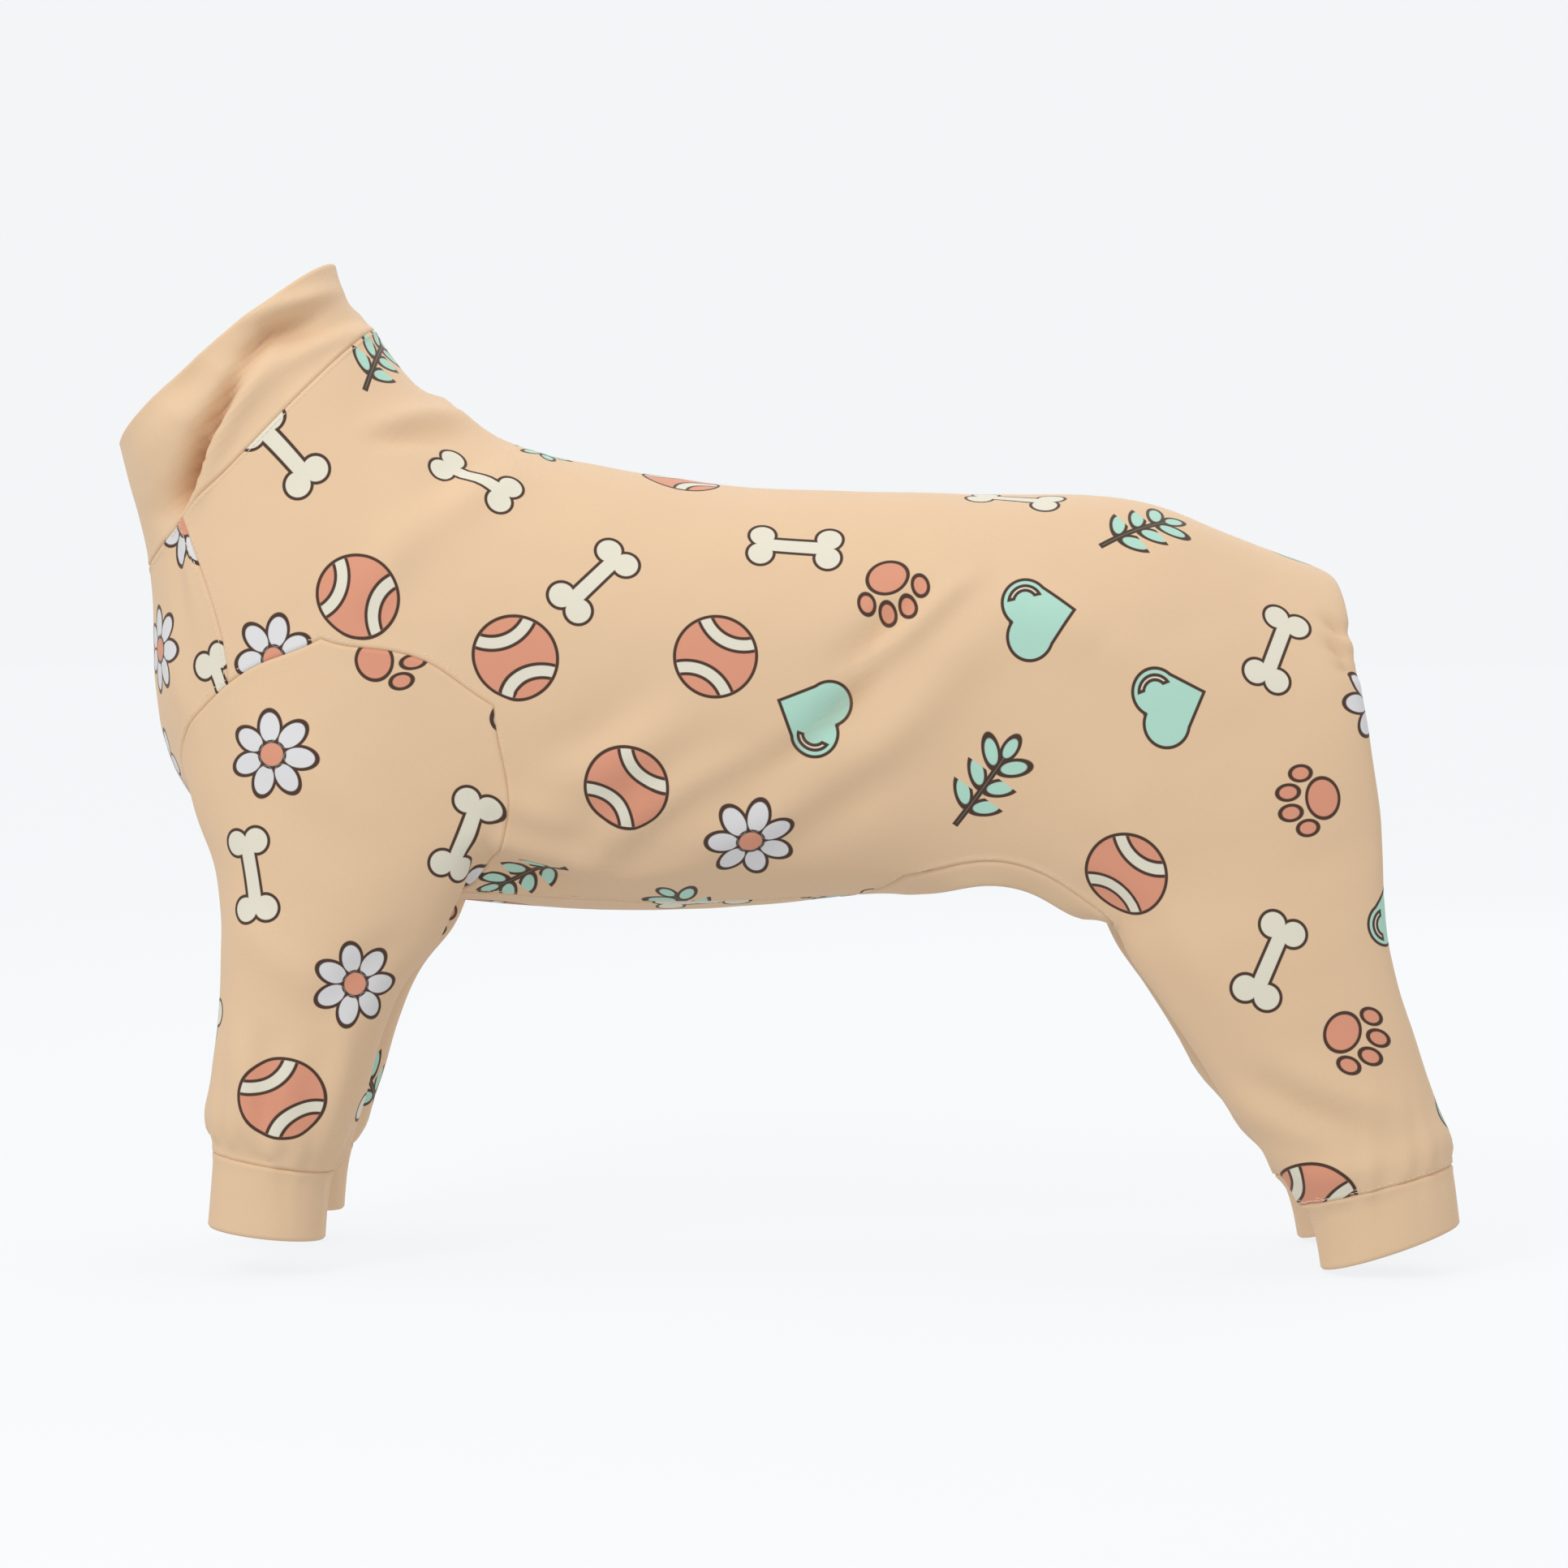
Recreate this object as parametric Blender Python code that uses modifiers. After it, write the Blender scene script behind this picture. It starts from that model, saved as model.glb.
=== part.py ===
"""Dog jumpsuit, worn: collar, chest strip, body, two sleeves, two hind legs, four cuffs and a band.

Metres. X runs towards the tail, +Z is up and -Y is the dog's left side. The origin is on the inner
face of the back, where the jumpsuit lies on the dog.
"""

import math

import bpy
import numpy as np

# Overall sizes: collar front to hind cuff, and collar rim to the lower end of the hind cuff
LENGTH = 0.700
HEIGHT = 0.520
CHEST_WIDTH = 0.190
LEG_SPACING = 0.122

# Legs and cuffs: fore and aft size, side to side size, depth of the band
SLEEVE_LONG = 0.140
SLEEVE_WIDE = 0.074
THIGH_LONG = 0.124
THIGH_WIDE = 0.052
FRONT_CUFF_LONG = 0.0590
FRONT_CUFF_WIDE = 0.0570
FRONT_CUFF_DEPTH = 0.041
HIND_CUFF_LONG = 0.0760
HIND_CUFF_WIDE = 0.0580
HIND_CUFF_DEPTH = 0.033

# Cloth: single jersey, doubled collar, doubled cuffs, folded band
JERSEY_WALL = 0.0016
COLLAR_WALL = 0.0026
CUFF_WALL = 0.0026
BAND_WALL = 0.0020
BAND_DEPTH = 0.015
SEAM_GAP = 0.0003
FOLD_DEPTH = 0.012
RIM_BOW = 0.0025
END_FADE = 0.1

# Torso rings from the collar's rim to the tail. Each runs from a point on the back, over the widest
# place, to a low point. along and height are shares of LENGTH and HEIGHT, wide and low_wide shares
# of half of CHEST_WIDTH, and round is 1 for an ellipse and less for a squarer ring.
TORSO = (
    # name, back_along, back_height, low_along, low_height, wide, low_wide, round
    ("rim", -0.335, 0.228, -0.493, 0.048, 0.66, 0.0, 1.00),
    ("collar", -0.330, 0.192, -0.480, -0.013, 0.70, 0.0, 1.00),
    ("collar_seam", -0.305, 0.164, -0.470, -0.078, 0.77, 0.0, 0.98),
    ("throat", -0.282, 0.112, -0.469, -0.145, 0.85, 0.0, 0.96),
    ("shoulder", -0.245, 0.068, -0.469, -0.215, 0.93, 0.0, 0.94),
    ("withers", -0.192, 0.040, -0.461, -0.290, 0.99, 0.0, 0.92),
    ("chest", -0.142, 0.026, -0.425, -0.352, 1.00, 0.0, 0.92),
    ("girth", -0.098, 0.017, -0.335, -0.397, 1.00, 0.0, 0.92),
    ("ribs", -0.049, 0.007, -0.240, -0.416, 0.98, 0.0, 0.92),
    ("waist", 0.005, 0.001, -0.134, -0.425, 0.95, 0.0, 0.90),
    ("loin", 0.066, -0.002, -0.031, -0.421, 0.91, 0.0, 0.88),
    ("belly", 0.130, -0.003, 0.057, -0.410, 0.88, 0.0, 0.84),
    ("flank", 0.182, -0.003, 0.139, -0.363, 0.88, 0.70, 0.84),
    ("stifle", 0.230, -0.004, 0.192, -0.373, 0.90, 0.70, 0.86),
    ("thigh", 0.276, -0.012, 0.240, -0.434, 0.92, 0.68, 0.88),
    ("hip", 0.318, -0.036, 0.295, -0.407, 0.93, 0.88, 0.90),
    ("rump", 0.366, -0.062, 0.361, -0.374, 0.90, 0.90, 0.90),
    ("seat", 0.403, -0.079, 0.432, -0.352, 0.78, 0.76, 0.90),
    ("seat_back", 0.413, -0.090, 0.443, -0.335, 0.64, 0.62, 0.90),
    ("tail_edge", 0.410, -0.108, 0.418, -0.310, 0.50, 0.47, 0.90),
)
RING = {row[0]: i for i, row in enumerate(TORSO)}
CLOSED = RING["belly"]

# Grid rows from the back to the underside: of a closed ring, and of one open below. The armhole
# starts at SHOULDER_ROW, the chest panel at CHEST_ROW and the strip under the belly at STRIP_ROW.
ROWS = 10
OPEN_ROWS = 8
SHOULDER_ROW = 5
CHEST_ROW = 7
STRIP_ROW = 9
SLIDES = 8
WAY_PASSES = 4
NORMAL_PASSES = 5
LEVELS = 1

# The armhole, seen from the side, at the grid points that it takes. The first row is at the front,
# and it runs over the shoulder, down behind the elbow and back under the chest.
ARMHOLE = (
    # ring, row, along, height
    ("withers", 8, -0.441, -0.238),
    ("withers", 7, -0.397, -0.177),
    ("withers", 6, -0.367, -0.157),
    ("withers", 5, -0.336, -0.146),
    ("chest", 5, -0.296, -0.142),
    ("girth", 5, -0.258, -0.160),
    ("ribs", 5, -0.231, -0.204),
    ("ribs", 6, -0.216, -0.255),
    ("ribs", 7, -0.210, -0.301),
    ("ribs", 8, -0.224, -0.346),
    ("ribs", 9, -0.251, -0.394),
    ("girth", 9, -0.315, -0.383),
    ("chest", 9, -0.390, -0.344),
    ("withers", 9, -0.441, -0.286),
)
CHEST_SEAM = (
    # ring, row, along, height
    ("throat", 7, -0.424, -0.066),
    ("shoulder", 7, -0.405, -0.130),
)

# Front of the opening under the belly: the grid points that its seam takes
BELLY_EDGE = (
    # row, along, height, across (share of half of CHEST_WIDTH)
    (8, 0.104, -0.383, 0.56),
    (9, 0.070, -0.399, 0.30),
    (10, 0.050, -0.403, 0.0),
)
# Seam of the opening along the inside of the thigh, from the tail forwards
THIGH_EDGE = (
    # along, height, across (share of half of LEG_SPACING)
    (0.386, -0.345, 0.68),
    (0.348, -0.378, 0.66),
    (0.307, -0.402, 0.70),
    (0.265, -0.407, 0.57),
)

# Leg rings below the armhole and the thigh. long and wide are shares of the leg's two top sizes,
# across a share of half of LEG_SPACING. tilt lifts the ring's rear and roll its outer side, in degrees.
SLEEVE = (
    # along, height, long, wide, across, tilt, roll
    (-0.330, -0.392, 0.87, 1.00, 1.05, -12.0, 20.0),
    (-0.341, -0.460, 0.69, 0.97, 1.02, -4.0, 8.0),
    (-0.356, -0.540, 0.59, 0.91, 1.00, 0.0, 0.0),
    (-0.367, -0.620, 0.57, 0.93, 0.99, -3.0, 0.0),
)
SLEEVE_EASE = 1.05
FRONT_CUFF = {
    "along": -0.3755,
    "height": -0.654,
    "across": 0.98,
    "lean": -4.0,
    "tilts": (-12.0, -7.0),
}
THIGH = (
    # along, height, long, wide, across, tilt, roll
    (0.345, -0.446, 1.11, 1.00, 1.06, 11.0, 0.0),
    (0.377, -0.530, 0.94, 0.99, 1.03, 11.0, 0.0),
    (0.412, -0.618, 0.80, 1.04, 1.00, 12.0, 0.0),
)
HIND_CUFF = {
    "along": 0.440,
    "height": -0.684,
    "across": 0.98,
    "lean": 8.0,
    "tilts": (14.0, 19.0),
}

# Pieces, each a panel of the one worn surface
PANELS = (
    "collar",
    "chest_panel",
    "body_panel",
    "rump_panel",
    "sleeve",
    "hind_leg",
    "opening_binding",
    "cuff_front",
    "cuff_hind",
)
WALLS = {
    "collar": COLLAR_WALL,
    "chest_panel": JERSEY_WALL,
    "body_panel": JERSEY_WALL,
    "rump_panel": JERSEY_WALL,
    "sleeve": JERSEY_WALL,
    "hind_leg": JERSEY_WALL,
    "opening_binding": BAND_WALL,
    "cuff_front": CUFF_WALL,
    "cuff_hind": CUFF_WALL,
}
EACH_SIDE = {"sleeve", "hind_leg", "cuff_front", "cuff_hind"}
PRINTED = {"chest_panel", "body_panel", "rump_panel", "sleeve", "hind_leg"}

# Folds seen from the side. Each runs between two places, rises (or sinks) by a share of FOLD_DEPTH
# and fades over its half width, a share of LENGTH.
FOLDS = (
    # name, from_along, from_height, to_along, to_height, rise, half_width
    ("collar_crease", -0.462, -0.030, -0.395, 0.150, -0.85, 0.020),
    ("collar_crease_lip", -0.430, -0.030, -0.365, 0.150, 0.45, 0.018),
    ("collar_dent", -0.470, 0.030, -0.440, 0.085, -0.45, 0.024),
    ("rim_ridge", -0.400, 0.128, -0.345, 0.146, 0.35, 0.012),
    ("flank_ridge", -0.100, -0.365, 0.178, -0.110, 0.50, 0.026),
    ("flank_valley", -0.005, -0.308, 0.070, -0.225, -0.45, 0.020),
    ("rib_ridge", -0.158, -0.290, -0.098, -0.240, 0.35, 0.022),
    ("hip_edge", 0.190, -0.110, 0.234, -0.160, 0.40, 0.024),
    ("armpit_fold", -0.225, -0.350, -0.140, -0.325, 0.55, 0.018),
    ("armpit_valley", -0.220, -0.378, -0.150, -0.368, -0.45, 0.014),
    ("shoulder_ridge", -0.325, -0.110, -0.262, 0.002, 0.30, 0.026),
    ("thigh_fold", 0.315, -0.590, 0.420, -0.655, 0.45, 0.016),
    ("sleeve_fold", -0.378, -0.545, -0.384, -0.630, 0.30, 0.014),
    ("sleeve_fold_rear", -0.340, -0.560, -0.338, -0.628, 0.30, 0.013),
)


def clear_scene():
    for obj in list(bpy.data.objects):
        bpy.data.objects.remove(obj, do_unlink=True)


def blended_row(place):
    """The torso ring at a place between two rows of the table, on a smooth curve through them."""
    last = CLOSED
    first = min(int(place), last - 1)
    part = place - first
    numbers = [np.array(TORSO[min(max(i, 0), last)][1:]) for i in range(first - 1, first + 3)]
    before, start, end, after = numbers
    bend = (2 * before - 5 * start + 4 * end - after) * part**2
    twist = (3 * start - before - 3 * end + after) * part**3
    return 0.5 * (2 * start + (end - before) * part + bend + twist)


def ring_point(row, turn):
    """A point of a torso ring: turn is 0 on the back and 1 at its low end."""
    back_along, back_height, low_along, low_height, wide, low_wide, roundness = row
    end = math.pi - math.asin(min(low_wide / wide, 1.0) ** (1 / roundness))
    angle = turn * end

    def bowed(value):
        return math.copysign(abs(value) ** roundness, value)

    drop = (1 - bowed(math.cos(angle))) / (1 - bowed(math.cos(end)))
    return np.array((
        LENGTH * (back_along + (low_along - back_along) * drop),
        -CHEST_WIDTH / 2 * wide * max(math.sin(angle), 0.0) ** roundness,
        HEIGHT * (back_height + (low_height - back_height) * drop),
    ))


def torso_places():
    """(ring, turn) of each grid point of the closed rings, slid so that the seams lie on grid lines."""
    step = 0.05
    rings = np.arange(0, CLOSED + step / 2, step)
    turns = np.linspace(0, 1, 101)
    table = np.array([[ring_point(blended_row(r), t) for t in turns] for r in rings])

    def seen_at(along, height):
        gap = (table[:, :, 0] - along * LENGTH) ** 2 + (table[:, :, 2] - height * HEIGHT) ** 2
        i, j = np.unravel_index(np.argmin(gap), gap.shape)
        return np.array((rings[i], turns[j]))

    places = np.array([[(i, j / ROWS) for j in range(ROWS + 1)] for i in range(CLOSED + 1)])
    held = set()
    for ring, row, along, height in ARMHOLE + CHEST_SEAM:
        places[RING[ring], row] = seen_at(along, height)
        held.add((RING[ring], row))
    first, last = RING["throat"], RING["loin"]
    for _ in range(SLIDES):
        slid = places.copy()
        for i in range(first, last + 1):
            for j in range(2, ROWS):
                if (i, j) not in held:
                    around = places[i - 1, j] + places[i + 1, j] + places[i, j - 1] + places[i, j + 1]
                    slid[i, j] = around / 4
        places = slid
    return places


def in_armhole(i, j):
    """Whether the grid face at ring i and row j lies inside the armhole."""
    return RING["withers"] <= i < RING["ribs"] and SHOULDER_ROW <= j < STRIP_ROW


def leg_ring(centre, long, wide, tilt, roll, angles):
    """Points round a leg: angle 0 at its rear, a quarter turn on its outer side, half at its front."""
    lift = math.radians(tilt)
    lean = math.radians(roll)
    points = []
    for angle in angles:
        ahead = long / 2 * math.cos(angle)
        aside = wide / 2 * math.sin(angle)
        points.append(np.array((
            centre[0] + ahead * math.cos(lift),
            centre[1] - aside * math.cos(lean),
            centre[2] + ahead * math.sin(lift) + aside * math.sin(lean),
        )))
    return points


def angles_round(points, centre, long, wide):
    """The angle of each top point round the leg's axis, from its front over its outer side."""
    angles = [
        math.atan2(-(point[1] - centre[1]) / wide, (point[0] - centre[0]) / long)
        for point in points
    ]
    return np.unwrap([math.pi] + angles)[1:]


def leg_rows(top, table, sizes, ease, cuff, cuff_sizes):
    """Rings of points down a leg, from the one below its top to the cuff's end.

    ease, where there is one, adds a ring halfway to the first that is fuller by that factor.
    """
    long, wide = sizes
    cuff_long, cuff_wide, depth = cuff_sizes

    def place(along, height, across):
        return np.array((along * LENGTH, -across * LEG_SPACING / 2, height * HEIGHT))

    centre = place(*table[0][:2], table[0][4])
    start = angles_round(top, centre, long, wide)
    even = math.pi - 2 * math.pi * np.arange(len(top)) / len(top)
    rows = []
    for i, (along, height, share_long, share_wide, across, tilt, roll) in enumerate(table):
        angles = start + (even - start) * (i + 1) / len(table)
        centre = place(along, height, across)
        rows.append(leg_ring(centre, share_long * long, share_wide * wide, tilt, roll, angles))
    if ease:
        halfway = (np.array(top) + np.array(rows[0])) / 2
        middle = halfway.mean(axis=0)
        rows.insert(0, list(middle + (halfway - middle) * (ease, ease, 1.0)))
    seam = place(cuff["along"], cuff["height"], cuff["across"])
    lean = math.radians(cuff["lean"])
    down = np.array((math.sin(lean), 0.0, -math.cos(lean)))
    for centre, tilt in zip((seam, seam + down * depth), cuff["tilts"]):
        rows.append(leg_ring(centre, cuff_long, cuff_wide, tilt, 0.0, even))
    return rows


def half_cage():
    """The coarse left half of the worn surface: points, faces and the panel of each face."""
    points, faces, panels = [], [], []

    def add(point):
        points.append(np.array(point, float))
        return len(points) - 1

    def face(corners, panel):
        faces.append(corners[::-1])
        panels.append(PANELS.index(panel))

    places = torso_places()
    grid = {}
    for i in range(len(TORSO)):
        for j in range(ROWS + 1 if i <= CLOSED else OPEN_ROWS + 1):
            if i < CLOSED:
                point = ring_point(blended_row(places[i, j, 0]), places[i, j, 1])
            elif i == CLOSED:
                point = ring_point(TORSO[i][1:], j / ROWS)
            else:
                point = ring_point(TORSO[i][1:], j / OPEN_ROWS)
            if i == RING["rim"]:
                bow = RIM_BOW * math.sin(math.pi * j / ROWS)
                point = point + (-bow, 0.0, bow)
            if not (RING["withers"] < i < RING["ribs"] and SHOULDER_ROW < j < STRIP_ROW):
                grid[i, j] = add(point)
    for row, along, height, across in BELLY_EDGE:
        edge = (along * LENGTH, -across * CHEST_WIDTH / 2, height * HEIGHT)
        points[grid[CLOSED, row]] = np.array(edge)

    for i in range(len(TORSO) - 1):
        for j in range(ROWS if i < CLOSED else OPEN_ROWS):
            if in_armhole(i, j):
                continue
            if i < RING["collar_seam"]:
                panel = "collar"
            elif i < RING["withers"] and j >= CHEST_ROW or i < CLOSED and j >= STRIP_ROW:
                panel = "chest_panel"
            elif i < CLOSED:
                panel = "body_panel"
            else:
                panel = "rump_panel"
            face((grid[i, j], grid[i + 1, j], grid[i + 1, j + 1], grid[i, j + 1]), panel)

    def leg(top, rows, panel, cuff):
        above = top
        for n, row in enumerate(rows):
            below = [add(point) for point in row]
            for k in range(len(top)):
                k_next = (k + 1) % len(top)
                corners = (above[k], above[k_next], below[k_next], below[k])
                face(corners, cuff if n == len(rows) - 1 else panel)
            above = below

    armhole = [grid[RING[ring], row] for ring, row, _, _ in ARMHOLE]
    rows = leg_rows(
        [points[i] for i in armhole], SLEEVE, (SLEEVE_LONG, SLEEVE_WIDE), SLEEVE_EASE, FRONT_CUFF,
        (FRONT_CUFF_LONG, FRONT_CUFF_WIDE, FRONT_CUFF_DEPTH),
    )
    leg(armhole, rows, "sleeve", "cuff_front")

    outer = [grid[i, OPEN_ROWS] for i in range(RING["thigh"], len(TORSO))]
    inner = [
        add((along * LENGTH, -across * LEG_SPACING / 2, height * HEIGHT))
        for along, height, across in THIGH_EDGE
    ]
    thigh = outer + inner
    rows = leg_rows(
        [points[i] for i in thigh], THIGH, (THIGH_LONG, THIGH_WIDE), None, HIND_CUFF,
        (HIND_CUFF_LONG, HIND_CUFF_WIDE, HIND_CUFF_DEPTH),
    )
    first_below = len(points)
    leg(thigh, rows, "hind_leg", "cuff_hind")

    # The seam of the opening, from the belly's centre round to the tail, each point with the one
    # behind it in the cloth, which the band leads away from
    last = len(TORSO) - 1
    front = RING["thigh"]
    edge = [(grid[CLOSED, j], grid[CLOSED - 1, j]) for j in range(ROWS, OPEN_ROWS - 1, -1)]
    edge += [(grid[i, OPEN_ROWS], grid[i, OPEN_ROWS - 1]) for i in range(CLOSED + 1, front)]
    edge += [(grid[front, OPEN_ROWS], grid[front + 1, OPEN_ROWS])]
    edge += [(inner[k], first_below + len(outer) + k) for k in reversed(range(len(inner)))]
    edge += [(grid[last, j], grid[last - 1, j]) for j in range(OPEN_ROWS, -1, -1)]
    ways = np.array([points[here] - points[behind] for here, behind in edge])
    ways /= np.linalg.norm(ways, axis=1, keepdims=True)
    for _ in range(WAY_PASSES):
        ways[1:-1] = (ways[:-2] + 2 * ways[1:-1] + ways[2:]) / 4
        ways /= np.linalg.norm(ways, axis=1, keepdims=True)
    free = []
    for (here, _), way in zip(edge, ways):
        on_centre = points[here][1] == 0.0
        free.append(add(points[here] + BAND_DEPTH * way * (1.0, 0.0 if on_centre else 1.0, 1.0)))
    for k in range(len(edge) - 1):
        face((edge[k][0], edge[k + 1][0], free[k + 1], free[k]), "opening_binding")
    return points, faces, panels


def worn_surface(levels):
    """The whole worn surface as arrays: points, four-sided faces and the panel of each face."""
    points, faces, panels = half_cage()
    mesh = bpy.data.meshes.new("half_cage")
    mesh.from_pydata([tuple(p) for p in points], [], faces)
    mesh.polygons.foreach_set("material_index", panels)
    for name in PANELS:
        mesh.materials.append(bpy.data.materials.new("panel_" + name))
    cage = bpy.data.objects.new("half_cage", mesh)
    bpy.context.scene.collection.objects.link(cage)
    mirror = cage.modifiers.new("other side", "MIRROR")
    mirror.use_axis = (False, True, False)
    mirror.merge_threshold = 0.0001
    smooth = cage.modifiers.new("smooth", "SUBSURF")
    smooth.levels = smooth.render_levels = levels
    made = bpy.data.meshes.new_from_object(cage.evaluated_get(bpy.context.evaluated_depsgraph_get()))
    places = np.array([v.co for v in made.vertices])
    corners = np.array([tuple(p.vertices) for p in made.polygons])
    panel = np.array([p.material_index for p in made.polygons])
    bpy.data.objects.remove(cage, do_unlink=True)
    bpy.data.meshes.remove(made)
    bpy.data.meshes.remove(mesh)
    for name in PANELS:
        bpy.data.materials.remove(bpy.data.materials["panel_" + name])
    return places, corners, panel


def normals_of(places, corners, passes=0):
    """Outward normals at the points of a four-sided mesh, evened out with their neighbours' passes times."""
    across = places[corners[:, 2]] - places[corners[:, 0]]
    along = places[corners[:, 3]] - places[corners[:, 1]]
    face_normals = np.cross(across, along)
    normals = np.zeros_like(places)
    for k in range(4):
        np.add.at(normals, corners[:, k], face_normals)
    normals /= np.linalg.norm(normals, axis=1, keepdims=True)
    for _ in range(passes):
        around = normals[corners].sum(axis=1)
        for k in range(4):
            np.add.at(normals, corners[:, k], around)
        normals /= np.linalg.norm(normals, axis=1, keepdims=True)
    return normals


def fold_rise(places):
    """How far each point is pushed outwards by the folds."""
    rise = np.zeros(len(places))
    seen = places[:, (0, 2)]
    for _, x0, z0, x1, z1, height, half_width in FOLDS:
        start = np.array((x0 * LENGTH, z0 * HEIGHT))
        run = np.array((x1 * LENGTH, z1 * HEIGHT)) - start
        share = np.clip(((seen - start) @ run) / (run @ run), 0, 1)
        away = np.linalg.norm(seen - start - share[:, None] * run, axis=1)
        fade = np.sin(np.pi * (END_FADE + (1 - 2 * END_FADE) * share))
        rise += height * FOLD_DEPTH * fade * np.exp(-((away / (half_width * LENGTH)) ** 2))
    return rise


def cloth_panel(places, normals, corners, wall):
    """One closed solid: the panel's outer face, the same faces a wall further in, and its edges."""
    used, corners = np.unique(corners, return_inverse=True)
    corners = corners.reshape(-1, 4)
    outer = places[used].copy()
    normal = normals[used]
    sides = [(face[k], face[(k + 1) % 4]) for face in corners for k in range(4)]
    inside = set(sides)
    rim = [(a, b) for a, b in sides if (b, a) not in inside]

    pull = np.zeros_like(outer)
    centres = outer[corners].mean(axis=1)
    for k in range(4):
        np.add.at(pull, corners[:, k], centres - outer[corners[:, k]])
    run = np.zeros_like(outer)
    for a, b in rim:
        step = outer[b] - outer[a]
        run[a] += step
        run[b] += step
    on_rim = np.array(sorted({a for a, _ in rim}))
    for i in on_rim:
        along = run[i] / np.linalg.norm(run[i])
        inwards = pull[i] - along * (pull[i] @ along) - normal[i] * (pull[i] @ normal[i])
        outer[i] += SEAM_GAP / 2 * inwards / np.linalg.norm(inwards)

    count = len(outer)
    inner = outer - normal * wall
    faces = [tuple(face) for face in corners]
    faces += [tuple(face[::-1] + count) for face in corners]
    faces += [(b, a, a + count, b + count) for a, b in rim]
    return np.concatenate([outer, inner]), faces


def cloth_material(name, colour, roughness):
    material = bpy.data.materials.new(name)
    material.use_nodes = True
    shader = material.node_tree.nodes["Principled BSDF"]
    shader.inputs["Base Color"].default_value = (*colour, 1)
    shader.inputs["Roughness"].default_value = roughness
    shader.inputs["Metallic"].default_value = 0
    return material


def make_piece(name, places, faces, material, collection):
    mesh = bpy.data.meshes.new(name)
    mesh.from_pydata([tuple(p) for p in places], [], faces)
    mesh.materials.append(material)
    mesh.shade_smooth()
    mesh.set_sharp_from_angle(angle=math.radians(50))
    piece = bpy.data.objects.new(name, mesh)
    collection.objects.link(piece)
    return piece


def main():
    clear_scene()
    collection = bpy.data.collections.new("dog_jumpsuit")
    bpy.context.scene.collection.children.link(collection)
    printed = cloth_material("printed_jersey", (0.80, 0.60, 0.42), 0.85)
    plain = cloth_material("plain_jersey", (0.81, 0.58, 0.39), 0.85)

    places, corners, panel = worn_surface(LEVELS)
    # The cage lies on the inner side of the cloth, so its outer face is a wall further out.
    places += normals_of(places, corners) * (JERSEY_WALL + fold_rise(places))[:, None]
    top = places[places[:, 2] > -HEIGHT / 4]
    back = top[np.argmin(np.hypot(top[:, 0], top[:, 1]))]
    places[:, 2] += JERSEY_WALL - back[2]
    normals = normals_of(places, corners, NORMAL_PASSES)
    across = places[corners].mean(axis=1)[:, 1]

    for index, name in enumerate(PANELS):
        material = printed if name in PRINTED else plain
        sides = {"": panel == index}
        if name in EACH_SIDE:
            sides = {"_left": across < 0, "_right": across > 0}
        for suffix, here in sides.items():
            chosen = corners[(panel == index) & here]
            solid, faces = cloth_panel(places, normals, chosen, WALLS[name])
            make_piece(name + suffix, solid, faces, material, collection)


main()
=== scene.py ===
import math

import bmesh
import bpy
import numpy as np
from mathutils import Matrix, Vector, noise
from mathutils.bvhtree import BVHTree


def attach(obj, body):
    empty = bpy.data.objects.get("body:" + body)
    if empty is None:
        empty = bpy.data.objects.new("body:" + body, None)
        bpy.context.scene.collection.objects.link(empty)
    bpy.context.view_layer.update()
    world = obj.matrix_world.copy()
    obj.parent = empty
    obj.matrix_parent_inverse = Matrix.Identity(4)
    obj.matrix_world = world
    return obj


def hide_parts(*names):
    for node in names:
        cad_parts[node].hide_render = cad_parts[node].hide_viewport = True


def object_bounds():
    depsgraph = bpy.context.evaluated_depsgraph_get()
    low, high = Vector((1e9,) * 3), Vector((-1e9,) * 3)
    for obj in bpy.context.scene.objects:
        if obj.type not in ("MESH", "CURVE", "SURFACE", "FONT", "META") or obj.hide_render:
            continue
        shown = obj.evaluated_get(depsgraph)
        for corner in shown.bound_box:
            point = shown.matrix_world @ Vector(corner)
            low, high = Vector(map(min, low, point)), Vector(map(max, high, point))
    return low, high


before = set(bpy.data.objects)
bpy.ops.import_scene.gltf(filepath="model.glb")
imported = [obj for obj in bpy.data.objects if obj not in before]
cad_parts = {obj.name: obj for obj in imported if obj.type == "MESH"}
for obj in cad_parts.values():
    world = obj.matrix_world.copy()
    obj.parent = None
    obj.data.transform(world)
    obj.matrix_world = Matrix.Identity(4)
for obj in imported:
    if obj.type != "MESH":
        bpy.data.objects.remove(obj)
cad_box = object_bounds()

# Overall sizes: collar front to hind cuff, and collar rim to the lower end of the hind cuff
LENGTH = 0.700
HEIGHT = 0.520
CHEST_WIDTH = 0.190
LEG_SPACING = 0.122

# Legs and cuffs: fore and aft size, side to side size, depth of the band
SLEEVE_LONG = 0.140
SLEEVE_WIDE = 0.074
THIGH_LONG = 0.124
THIGH_WIDE = 0.052
FRONT_CUFF_LONG = 0.0590
FRONT_CUFF_WIDE = 0.0570
FRONT_CUFF_DEPTH = 0.041
HIND_CUFF_LONG = 0.0760
HIND_CUFF_WIDE = 0.0580
HIND_CUFF_DEPTH = 0.033

# Cloth: single jersey, doubled collar, doubled cuffs, folded band
JERSEY_WALL = 0.0016
COLLAR_WALL = 0.0026
CUFF_WALL = 0.0026
BAND_WALL = 0.0020
BAND_DEPTH = 0.015
FOLD_DEPTH = 0.013
RIM_BOW = 0.0025

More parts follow.
